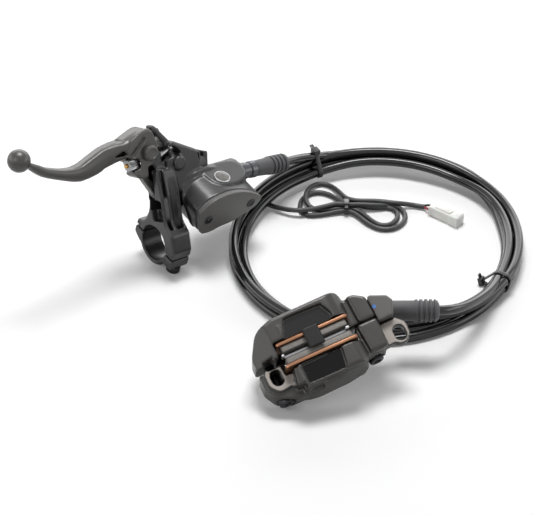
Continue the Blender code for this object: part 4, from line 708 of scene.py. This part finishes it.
def cable_route():
    """From the switch's back, behind the reservoir and over the coil, through the folds of the hank to its tail."""
    start = MASTER(CABLE_START) - FLOOR_SHIFT
    out = MASTER.along((0, 1, 0))
    route = np.vstack([[start, start + 5.0 * out], CABLE_DROP, CABLE_FOLDS]) + FLOOR_SHIFT
    route = relaxed(along(route, CABLE_STEP), CABLE_EASE, CABLE_STEP)
    lift = np.exp(-(np.linalg.norm(route[:, :2] - (HANK_TIE + FLOOR_SHIFT)[:2], axis=1) / HANK_REACH) ** 2)
    return route + np.outer(0.1 + lift, (0, 0, 1))


def cable_pieces(bench):
    """The switch's cable with its tied hank, the two wires out of its end and the connector."""
    route = cable_route()
    at, ahead = HANK_TIE + FLOOR_SHIFT, np.array([1.0, 0.0, 0.0])
    strands = crossings(route, at, ahead, reach=6.5)
    shells = tie_shells(strands, [CABLE / 2] * len(strands), ahead, width=2.4, thick=0.8, head_angle=66,
                        head=(4.2, 3.8, 2.6), tail=3.0)
    bench.piece("hank_strap", shells, "nylon", "hank_tie")

    turn = math.radians(CONNECTOR_TURN)
    along_it = np.array([math.cos(turn), math.sin(turn), 0])
    across = np.array([-math.sin(turn), math.cos(turn), 0])
    up = np.array([0, 0, 1.0])
    face = CONNECTOR_AT - along_it * CONNECTOR[0] / 2
    end = route[-1] - FLOOR_SHIFT
    for name, solid, side, lift, coat, slot in (
        ("black_wire", "wire_black", 1.0, 0.7, "cable", "hose"), ("red_wire", "wire_red", -1.0, -0.1, "red", "red"),
    ):
        socket = face + across * 1.7 * side + up * 3.0
        ends = np.array([
            end - along_it * 1.2 + across * 0.5 * side,
            end + along_it * 0.8 + across * (0.9 * side) + up * (0.3 + lift),
            (end + socket) / 2 + across * 0.5 * side + up * (0.6 + lift),
            socket - along_it * 1.0 + up * 0.3,
            socket + along_it * 1.2,
        ])
        cord_piece(name, along(ends + FLOOR_SHIFT, WIRE_STEP), WIRE, bench.finish[coat], slot, (solid,))

    axes = (along_it, across, up)
    long, wide, high = CONNECTOR
    base = CONNECTOR_AT + FLOOR_SHIFT

    def part(x0, x1, y0, y1, z0, z1, edge, corner=0.4):
        return slab(softened(oblong(x0, x1, y0, y1), corner, 3), z0, z1, base, axes, edge)

    half, wing = long / 2, wide / 2
    shells = [
        part(-half, half - 6.0, -wing + 0.5, wing - 0.5, 0.35, high - 0.6, 0.45),
        part(half - 6.6, half - 0.4, -wing, wing, 0.0, high - 0.1, 0.5),
        part(half - 1.6, half, -wing + 0.7, wing - 0.7, 0.6, high - 0.7, 0.3),
        part(-half + 4.6, half - 7.4, -1.9, 1.9, high - 1.0, high - 0.1, 0.25, 0.3),
        part(-half + 1.2, -half + 3.4, -wing + 0.2, -wing + 1.2, 1.2, high - 1.4, 0.2),
        part(-half + 1.2, -half + 3.4, wing - 1.2, wing - 0.2, 1.2, high - 1.4, 0.2),
        part(half - 9.4, half - 7.0, -1.2, 1.2, high - 0.8, high, 0.2, 0.3),
    ]
    bench.piece("connector", shells, "white", "connector_housing")
    cord_piece("cable", route, CABLE, bench.finish["cable"], "hose", ("switch_cable", "cable_hank", "cable_tail"),
               far_end="connector", stiffness="medium", lay="coiled",
               with_pieces=["hank_strap", "black_wire", "red_wire", "connector"])


# Lever and master cylinder

# Axes of slabs: an outline's two directions, then its thickness
ACROSS_BAR = ((1, 0, 0), (0, 0, 1), (0, 1, 0))
ALONG_BAR = ((0, 1, 0), (0, 0, 1), (1, 0, 0))

# Middle of the lever's thickness, height of the bore, front of the pivot's bolt, middle of the adjuster's wheel
LEVER_Y = -4.0
BORE_Z = 28.2
PIVOT_FRONT = (-10.0, -15.9, 58.0)
KNOB_AT = np.array([-17.0, -7.0, 52.4])

# The reservoir's cover: a plane that leans back, with an outline of (along the bar, up it); the deck is the
# reservoir's top, with an outline of (along the bar, out of the cover)
COVER_AT = np.array([36.0, -26.0, 13.0])
COVER_TILT = math.radians(30.7)
COVER_UP = np.array([0.0, -math.sin(COVER_TILT), math.cos(COVER_TILT)])
COVER_OUT = np.array([0.0, -math.cos(COVER_TILT), -math.sin(COVER_TILT)])
COVER_AXES = ((1, 0, 0), COVER_UP, COVER_OUT)
DECK_AXES = ((1, 0, 0), COVER_OUT, COVER_UP)
COVER_EDGE = [
    (-26.6, 4.4), (-24.4, 8.4), (-17.8, 12.8), (-8.4, 14.5), (0.9, 13.8), (9.4, 10.9), (16.6, 6.9), (20.6, 3.8),
    (20.2, 0.9), (17, -3), (10.2, -6.3), (1.4, -9.4), (-7.6, -10.6), (-13.3, -12.1), (-18.6, -12.3), (-22.4, -10.6),
    (-24.8, -3.4),
]
DECK_EDGE = [
    (-10.6, -24.6), (-4, -27.6), (4, -27.4), (12.4, -26), (16.4, -21.5), (16.2, -15.5), (13, -10.8), (7.6, -8),
    (1.6, -6.9), (-4.8, -8.4), (-9, -11.8), (-10.6, -17),
]
DECK_HEIGHT = 15.3
SIGHT_AT = (-2.3, -14.6)
COVER_SCREWS = ((-18.8, -1.4), (12.9, 1.4))

# Turned pieces: radius, distance along the axis
CYLINDER = [(9.6, 10.5), (9.6, 46), (9, 50), (7.6, 56), (7, 57)]
OUTLET_BOSS = [(7, -6), (7.2, -1), (6, 3.3)]
STOP_BOSS = [(1.9, -1.8), (1.9, 1.8)]
LID_SCREW = [(3.2, -1.2), (3.2, 0.05), (2.95, 0.35), (2.2, 0.55), (1.1, 0.65)]
SIGHT_RING = [(4, -1.2), (4, 0.25), (4.35, 0.62), (4.8, 0.62), (5.1, 0.3), (5.15, -1.2)]
SIGHT_LENS = [(4.1, 0.3), (4, 0.66), (3, 0.72), (1.2, 0.76)]
OUTLET_NUT = [
    (3, 3.6), (4.8, 3.6), (5.15, 4), (5.2, 7.1), (4.5, 7.5), (4.5, 9.9), (5.2, 10.3), (5.3, 14.1), (4.9, 14.6),
    (3, 14.6),
]
BOOT_NECK = [(3, 14.7), (4.6, 14.7), (4.95, 15.1), (5.35, 24), (5.75, 25.3)]
BOOT_END = [(5.9, 37.4), (5.3, 38.9), (4, 40.1), (2.95, 40.6)]
REACH_STOP = [(1, -1.2), (1.3, -1), (1.3, 3.6), (1, 4)]
PIVOT_SCREW = [(3, 3.2), (4.6, 3.2), (4.65, 0.9), (4.3, 0.35), (3.6, 0.1), (3.1, 0.1), (2.9, 0.4), (1, 0.45)]
ADJUSTER_SCREW = [(1, -7.2), (1.3, -6.9), (1.4, -5.9), (1.5, 2.4), (1.1, 2.6)]

# Lever blade: distance along the bar, top edge, lower edge, half its depth
BLADE = [
    (-87.5, 70.6, 67.6, 3), (-84, 68.9, 63.4, 3.4), (-80.5, 67, 60.5, 3.9), (-75.9, 64.4, 58, 4.4),
    (-66.2, 61.2, 54.2, 4.9), (-59.5, 60.2, 51.9, 5.2), (-53.9, 60.8, 51.1, 5.3), (-45.1, 64, 52.1, 5.4),
    (-37.7, 66.6, 54.3, 5.8), (-30.4, 67.5, 56.2, 6.8), (-24, 68, 57.6, 7.8), (-18, 70, 58, 8.35),
    (-12, 71.8, 58, 8.4), (-8.2, 71.6, 60, 8.3),
]

# What is cut out of the lever in turn: corners in X and Z, front, back and the corners' rounding
LEVER_CUTS = [
    # Between its two cheeks and the casting's arm
    ([(-17, 52), (-17, 65), (-9, 69), (-8.6, 76), (7, 76), (7, 52)], -9.4, 1.4, 0.8),
    # Under the blade's root, where the adjuster turns, and past it to the back
    ([(-40, 42), (-40, 54.8), (-31, 56.6), (-26.5, 55.2), (-24.2, 56.6), (-17.4, 56.3), (-16.4, 53),
      (-17, 50.2), (-24.2, 49), (-24.2, 42)], -16, -2.8, 0.8),
    ([(-40, 42), (-40, 53.6), (-31, 55.6), (-20.5, 55), (-19.8, 48), (-24.2, 42)], -16, 8, 0.8),
    # The long groove and the small pocket of the front cheek
    ([(-12, 68), (-11.2, 66.6), (-20.6, 57.4), (-22.2, 58.4)], -16, -11.2, 0.5),
    ([(-34.3, 59.6), (-30, 61.4), (-26.6, 62.8), (-24, 60.6), (-26, 59.6), (-30.2, 59.9)], -16, -6.2, 0.7),
    # The notch across its crest
    ([(-25.9, 72), (-25.3, 66.9), (-24.7, 66.9), (-24.1, 72)], -8, 8),
    # The back cheek, lower than the front one in two steps
    ([(-50, 63.6), (-41.7, 63.6), (-34.3, 65.2), (-25, 66), (-19.3, 66.2), (-12.3, 68.8), (-8.5, 70),
      (-4, 70.4), (-4, 80), (-50, 80)], 1, 12),
    ([(-50, 62.4), (-39.8, 62.4), (-32.4, 64), (-23, 64.8), (-17.3, 64.9), (-10.3, 68), (-6.5, 69.2),
      (-2.8, 69.6), (-2.8, 80), (-50, 80)], 2.8, 12),
    ([(-30, 38), (-30, 53), (-18.6, 53), (-16.8, 47), (-11.6, 46), (-6, 38)], -1.2, 12),
    # In front of the finger that pushes the piston
    ([(-26, 26), (-26, 45.8), (-22.4, 45.6), (-13.2, 42.6), (-11, 38.6), (-6.6, 31.2), (-7.6, 26)],
     -16, -0.5),
]
CHEEK_ROOM = [(-17, 51.4), (-17, 65), (-9, 69.4), (-8.6, 76), (7, 76), (7, 40), (-8, 44)]


def blade_shell(stations):
    """Blade through its stations: two flanks that meet in a crest, drawn as wide and high as each station."""
    x, top, low, half = along(stations, 0.7).T
    upper = [(0.0, 1.0), (0.62, 0.99), (0.93, 0.86), (1.0, 0.62), (0.94, 0.22), (0.62, 0.02), (0.0, 0.0)]
    section = softened(upper + [(-u, v) for u, v in upper[-2:0:-1]], 0.14, 3)
    rings = np.stack([
        np.broadcast_to(x[:, None], (len(x), len(section))), LEVER_Y + half[:, None] * section[None, :, 0],
        low[:, None] + (top - low)[:, None] * section[None, :, 1],
    ], -1)
    return shell(rings)


def bar_cut(corners, front, back, corner=0.0):
    """Cutter through the lever assembly, in X and Z, from a front to a back along Y, with sharp rims."""
    outline = softened(corners, corner) if corner else corners
    return slab(outline, front, back, axes=ACROSS_BAR, edge=0.0)


def ring_round(path, radius):
    """Bead of a radius along a closed path."""
    path = np.asarray(path, float)
    ahead = unit(np.roll(path, -1, 0) - np.roll(path, 1, 0))
    out = unit(path - path.mean(0))
    out = unit(out - (out * ahead).sum(1, keepdims=True) * ahead)
    over = np.cross(ahead, out)
    angle = np.linspace(0, 2 * np.pi, 12, endpoint=False)
    spoke = np.cos(angle)[None, :, None] * out[:, None] + np.sin(angle)[None, :, None] * over[:, None]
    return shell(path[:, None] + radius * spoke, looped=True)


def ball_profile(radius):
    """Half circle from pole to pole, as (radius, distance), with a small flat left at each pole."""
    angle = np.radians(np.linspace(-86, 86, 24))
    return np.stack([radius * np.cos(angle), radius * np.sin(angle)], 1)


def on_cover(along_it, up_it, out_it=0.0):
    """Points on the cover's face, or a distance out of it."""
    return COVER_AT + along_it * np.array([1.0, 0, 0]) + up_it * COVER_UP + out_it * COVER_OUT


def cross_slots(at, axes, long, wide, deep, turn):
    """Two crossed slots of a Phillips recess."""
    skins = []
    across, up, out = np.asarray(axes, float)
    for degrees in (turn, turn + 90):
        c, s = math.cos(math.radians(degrees)), math.sin(math.radians(degrees))
        frame = (c * across + s * up, -s * across + c * up, out)
        skins.append(slab(box_outline(long, wide), -deep, 2.0, at, frame, 0.0, 1))
    return skins


def grooved(radius, places, depth, half=0.75):
    """Profile points of round grooves at places along a boot."""
    deep, floor = radius - depth, half * 0.45
    groove = ((radius, -half), (deep, -floor), (deep, floor), (radius, half))
    return [(r, s + d) for s in places for r, d in groove]


def master_pieces(bench):
    """Casting with the reservoir, its cover and sight glass, the clamp, the outlet and the switch."""
    edge, deck = closed_curve(COVER_EDGE), closed_curve(DECK_EDGE)
    # The rim runs where the cover's edge, carried back, meets the casting's front face
    wall = -12.9 - COVER_AT[1] - edge[:, 1] * COVER_UP[1]
    rim = on_cover(edge[:, :1], edge[:, 1:], (wall / COVER_OUT[1])[:, None])
    adds = [
        slab(edge, -24.0, -3.45, COVER_AT, COVER_AXES, 0.5),
        ring_round(rim, 1.0),
        slab(deck, 4.0, DECK_HEIGHT, COVER_AT, DECK_AXES, 0.7),
        lathe(CYLINDER, (0, LEVER_Y, BORE_Z), (1, 0, 0)),
        lathe(OUTLET_BOSS, OUTLET_AT, OUTLET_SLOPE),
        lathe(STOP_BOSS, (2.2, LEVER_Y, 67.0), (-0.876, 0, -0.482), 20),
    ]
    neck_side = softened([(-13.2, 14.6), (-3, 14), (-2.2, 28.6), (-12.8, 27.4)], 1.6)
    cuts = [
        # Hollows of the neck between clamp and arm, the opening at the switch's plunger, the arm's top at the stop
        # screw, and room over the bore for the lever's finger
        slab(neck_side, -9.0, -2.6, axes=ALONG_BAR, edge=0.0),
        bar_cut([(-4.9, 9), (-2.5, 8), (-2.5, 47), (-5.6, 47)], -17.0, -10.4, 0.8),
        bar_cut([(0.2, -1), (4.9, 2), (5.6, 26), (4.6, 43), (-0.4, 45)], -17.0, -13.2, 2.2),
        bar_cut([(0.4, 49), (0.8, 56.6), (6.1, 58.6), (10.4, 56), (12.6, 52.2), (5.4, 51.4)], -15.5, -4.2, 0.8),
        slab(box_outline(8, 14), -4.2, 6.0, (-5, 0, 73), ACROSS_BAR, 0.0, 1),
        bar_cut(oblong(9.2, 12.6, 30.4, 33.3), -6.6, -1.4, 0.5),
    ]
    inside = [slab(moved_in(edge, -2.0), -21.0, -2.0, COVER_AT, COVER_AXES, 0.0, 1)]
    bench.cast("master_casting", "master_body", "black", adds, cuts, voxel=0.5, clear=inside,
               more=("reservoir_diaphragm",))
    bench.cast("clamp_cap_casting", "clamp_cap", "black", voxel=0.4)

    plate = slab(edge, -2.4, 0.0, COVER_AT, COVER_AXES, 0.45)
    gasket = slab(moved_in(edge, 0.5), -3.5, -2.3, COVER_AT, COVER_AXES, 0.0, 1)
    bench.piece("reservoir_lid", [plate, gasket], "cover", "reservoir_cover")
    for side, (u, v) in zip(("left", "right"), COVER_SCREWS):
        at = on_cover(u, v)
        made = bench.piece("lid_screw_" + side, [lathe(LID_SCREW, at, COVER_OUT)], "dark_steel", "cover_screw_" + side,
                           slot="steel")
        carve(made, cross_slots(at, COVER_AXES, 3.9, 0.95, 1.0, 28), MASTER, "EXACT")
    at = on_cover(SIGHT_AT[0], DECK_HEIGHT, SIGHT_AT[1])
    bench.piece("sight_ring", [lathe(SIGHT_RING, at, COVER_UP)], "steel", "sight_glass_bezel")
    bench.piece("sight_lens", [lathe(SIGHT_LENS, at, COVER_UP)], "glass", "sight_glass_lens")

    bench.piece("outlet_nut", [lathe(OUTLET_NUT, OUTLET_AT, OUTLET_SLOPE)], "alloy", "hose_nut")
    boot = BOOT_NECK + grooved(5.9, (26.8, 29.8, 32.8, 35.8), 1.0) + BOOT_END
    bench.piece("lever_boot", [lathe(boot, OUTLET_AT, OUTLET_SLOPE)], "rubber", "boot_master")

    bench.eased("clamp_screw", "clamp_bolt", "dark_steel", 0.3)
    stop = lathe(REACH_STOP, (-0.6, LEVER_Y, 64.6), (0.17, 0, 0.985), 24)
    bench.piece("reach_stop", [stop], "dark_steel", "stop_screw")
    notch = bar_cut([(27.2, 51), (27.6, 46.6), (29.8, 45.8), (30.4, 51)], -13.0, -4.4, 0.4)
    step = bar_cut(oblong(24, 26.6, 44.6, 51), -13.0, -8.6)
    bench.eased("switch_housing", "switch_body", "black", 0.35, (notch, step))
    bench.eased("switch_pin", "switch_plunger", "steel", 0.2, body="switch_plunger")


def lever_pieces(bench):
    """Forged lever with its pivot bolt and reach adjuster."""
    adds = [blade_shell(BLADE), lathe(ball_profile(6.7), (-91.9, LEVER_Y, 72.1), (1, 0, 0))]
    cuts = [bar_cut(CHEEK_ROOM, LEVER_Y + near, LEVER_Y + far, 1.0) for near, far in ((-5.4, -2.6), (2.6, 5.4))]
    cuts += [bar_cut(*row) for row in LEVER_CUTS]
    bench.cast("lever_forging", "lever", "satin", adds, cuts, body="lever", voxel=0.42, smoothing=7)
    bench.piece("pivot_screw", [lathe(PIVOT_SCREW, PIVOT_FRONT, (0, 1, 0))], "satin", "pivot_bolt")
    # Twenty ridges round the wheel
    angle = np.linspace(0, 2 * np.pi, 160, endpoint=False)
    wheel = (3.55 + 0.22 * np.cos(20 * angle))[:, None] * np.stack([np.cos(angle), np.sin(angle)], 1)
    wheel = slab(wheel, -6.0, 0.0, KNOB_AT, ALONG_BAR, 0.4)
    bench.piece("adjuster_wheel", [wheel], "steel", "reach_adjuster_wheel", body="reach_adjuster")
    screw = lathe(ADJUSTER_SCREW, KNOB_AT, (1, 0, 0), 24)
    bench.piece("adjuster_screw", [screw], "brass", "reach_adjuster_screw", body="reach_adjuster")


# Caliper

WINDOW = [(-13.4, 8.2), (-13.8, 13), (-11.6, 18.3), (-10, 18.9), (0, 18.9), (10.4, 18.4), (11.4, 17.4), (12.4, 8.2)]
CALIPER_BOOT_NECK = [(3, 0), (5.3, 0), (5.7, 0.5), (5.75, 12.4), (6.3, 13.2)]
CALIPER_BOOT_END = [(6.4, 24.2), (5.6, 25.4), (4.2, 26.3), (2.95, 26.6)]


def caliper_pieces(bench):
    """Caliper halves, their bolts, the pads with their clips, and the hose's inlet and boot."""
    # Bridge and shoulder at the right end, and the rib beside the window
    adds = [
        block([(20, 0.5), (20, 17.6), (27, 16.8), (27, 0.5)], -14.0, -6.2, 1.0, 1.4),
        block([(26.2, 0.4), (26, 17.3), (30.2, 17), (36, 13.2), (36.2, 0.4)], -13.0, -3.9, 1.6, 1.3),
        block([(-16.6, 9.6), (-16.4, 16.6), (-15.2, 16.4), (-15.4, 9.4)], -4.0, 0.2, 0.4, 0.3),
    ]
    cuts = [slab(closed_curve(WINDOW, 6), -3.0, 4.0, edge=0.0)]
    bench.cast("upper_casting", "caliper_half_upper", "window_black", adds, cuts, slot="black", smoothing=7)
    # The same at the right end, the foot and the fillings round the left tab, and the long lower wall
    adds = [
        block([(24, -0.4), (36, -0.4), (35.2, -17.6), (24.6, -17.6)], -13.0, -3.9, 1.6, 1.3),
        block([(22.9, -0.5), (27, -0.5), (26, -17.2), (20, -18.6), (20, -9), (22.9, -9)], -14.0, -6.4, 0.6, 1.2),
        block([(-24.4, -9), (-14, -9), (-14.4, -16), (-21, -16.6)], -20.0, -8.5, 0.8, 0.5),
        slab(box_outline(3, 8.6), -24.0, -9.4, (-23.5, -5.6, 0), edge=0.3),
        slab([(-17.9, -8.7), (-13.5, -8.7), (-13.5, -18.5), (-19.6, -18.5)], -12.0, -2.0, edge=0.5),
        slab(box_outline(2.8, 2.6), -22.0, -10.5, (-21.4, -3.3, 0), edge=0.3),
        block([(-16.4, -22.2), (-9, -23.4), (10, -23), (20, -21.4), (20, -16), (-16.4, -16)], -24.0, -7.0, 2.0,
              1.5),
    ]
    # The sunk panel, a pocket in the lower wall and three slots
    cuts = [
        block([(-13.8, -9), (-14.2, -20.6), (8.6, -20.8), (10.9, -8.6)], -3.2, 4.0, 0.8, 0.0),
        block(oblong(-12.6, -6, -24.8, -21.6), -12.0, -2.0, 0.8, 0.0),
    ]
    cuts += [slab(box_outline(0.9, 9), -7.0, -1.4, (x, -20.4, -9.0), edge=0.0) for x in (27.6, 29.6, 31.6)]
    bench.cast("lower_casting", "caliper_half_lower", "tab_black", adds, cuts, slot="black", smoothing=5)
    bench.cast("inlet_elbow", "hose_inlet", "inlet", slot="satin", voxel=0.4, smoothing=3)

    boot = CALIPER_BOOT_NECK + grooved(6.45, (14.9, 17.7, 20.4, 23), 1.0, 0.7) + CALIPER_BOOT_END
    level = CALIPER.turn.T @ np.array([1.0, 0, 0])
    bench.piece("caliper_boot", [lathe(boot, CALIPER_BOOT_AT, level)], "rubber", "boot_caliper")
    for solid in ("body_bolt_left", "body_bolt_right", "bleed_screw"):
        bench.eased(solid + "_turned", solid, "dark_steel", 0.2)
    for side in ("upper", "lower"):
        bench.eased(side + "_backing", "pad_" + side + "_plate", "copper", 0.3, body=side + "_pad")
        bench.eased(side + "_friction", "pad_" + side + "_lining", "lining", 0.3, body=side + "_pad")
    bench.cast("retainer_block", "pad_retainer", "dull_nylon", slot="black", voxel=0.3, smoothing=3)
    clips = [
        block(oblong(-19.4, 19.4, -0.7, 0.7), -5.9, -5.3, 0.3, 0.1),
        block(oblong(17.4, 19.6, -0.75, 0.75), -5.6, -1.6, 0.4, 0.3),
        block(oblong(-20.9, -19.2, -0.75, 0.75), -5.6, -1.8, 0.4, 0.3),
    ]
    bench.piece("pad_clip", clips, "steel", "pad_spring")


# Stage

def stage(target):
    """Pale floor, even light from above and the camera."""
    scene = bpy.context.scene
    scene.view_settings.view_transform = "Standard"
    world = bpy.data.worlds.new("studio")
    scene.world = world
    world.use_nodes = True
    tree = world.node_tree
    rays = node(tree, "ShaderNodeLightPath")
    either = {"operation": "MAXIMUM"}
    seen = node(tree, "ShaderNodeMath", either, n0=rays.outputs["Is Camera Ray"], n1=rays.outputs["Is Glossy Ray"])
    seen = node(tree, "ShaderNodeMath", either, n0=seen.outputs[0], n1=rays.outputs["Is Transmission Ray"])
    level = node(tree, "ShaderNodeMapRange", {"To Min": SKY_LIGHT, "To Max": 1.0}, Value=seen.outputs[0])
    node(tree, "Background", {"Color": linear("#ffffff")}, Strength=level.outputs["Result"])

    mesh = bpy.data.meshes.new("floor")
    corners = FLOOR_REACH * np.array([(-1, -1, 0), (1, -1, 0), (1, 1, 0), (-1, 1, 0)])
    mesh.from_pydata(corners.tolist(), [], [(0, 1, 2, 3)])
    floor = linked("floor", mesh)
    card = bpy.data.materials.new("white_card")
    card.use_nodes = True
    tree = card.node_tree
    rays = node(tree, "ShaderNodeLightPath")
    where = node(tree, "ShaderNodeTexCoord").outputs["Object"]
    away = node(tree, "ShaderNodeVectorMath", {"operation": "LENGTH"}, n0=where).outputs["Value"]
    glow = {"From Min": GLOW_FROM, "From Max": GLOW_TO, "To Min": GLOW_NEAR, "To Max": GLOW_FAR}
    glow = node(tree, "ShaderNodeMapRange", glow, Value=away).outputs["Result"]
    lift = node(tree, "ShaderNodeMath", {"operation": "MULTIPLY"}, n0=rays.outputs["Is Camera Ray"], n1=glow)
    paper = {"Base Color": linear("#f4f4f4"), "Roughness": 0.9, "Specular IOR Level": 0.1,
             "Emission Color": linear("#ffffff")}
    node(tree, "Principled BSDF", paper, **{"Emission Strength": lift.outputs[0]})
    mesh.materials.append(card)

    for name, at, size, power in LIGHTS:
        light = bpy.data.lights.new(name, "AREA")
        light.shape = "RECTANGLE"
        light.size, light.size_y = size
        light.energy = power
        lamp = linked(name, light)
        lamp.location = at
        aim = unit(target * MM - np.array(at))
        lamp.rotation_euler = (math.acos(-aim[2]), 0, math.atan2(aim[1], aim[0]) - math.pi / 2)

    camera = linked("camera", bpy.data.cameras.new("camera"))
    camera.data.lens = LENS
    camera.data.sensor_width = SENSOR
    camera.data.sensor_fit = "HORIZONTAL"
    rise = math.radians(CAMERA_RISE)
    camera.location = (target + CAMERA_DISTANCE * np.array([0, -math.cos(rise), math.sin(rise)])) * MM
    camera.rotation_euler = (math.pi / 2 - rise, 0, 0)
    scene.camera = camera


def main():
    """The stage, the solids in their finishes, and every drawn piece."""
    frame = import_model()
    stage(FLOOR_SHIFT)
    finish = finishes()
    slots = {entry["node"]: entry["material_slot"] for entry in frame["record"]["subparts"]}
    for name, solid in frame["nodes"].items():
        for holder in solid.material_slots:
            holder.material = finish[slots[name]]

    on_floor, master, caliper = (Bench(place, frame["nodes"], finish) for place in (as_it_lies, MASTER, CALIPER))
    hose_pieces(on_floor)
    cable_pieces(on_floor)
    master_pieces(master)
    lever_pieces(master)
    caliper_pieces(caliper)


main()
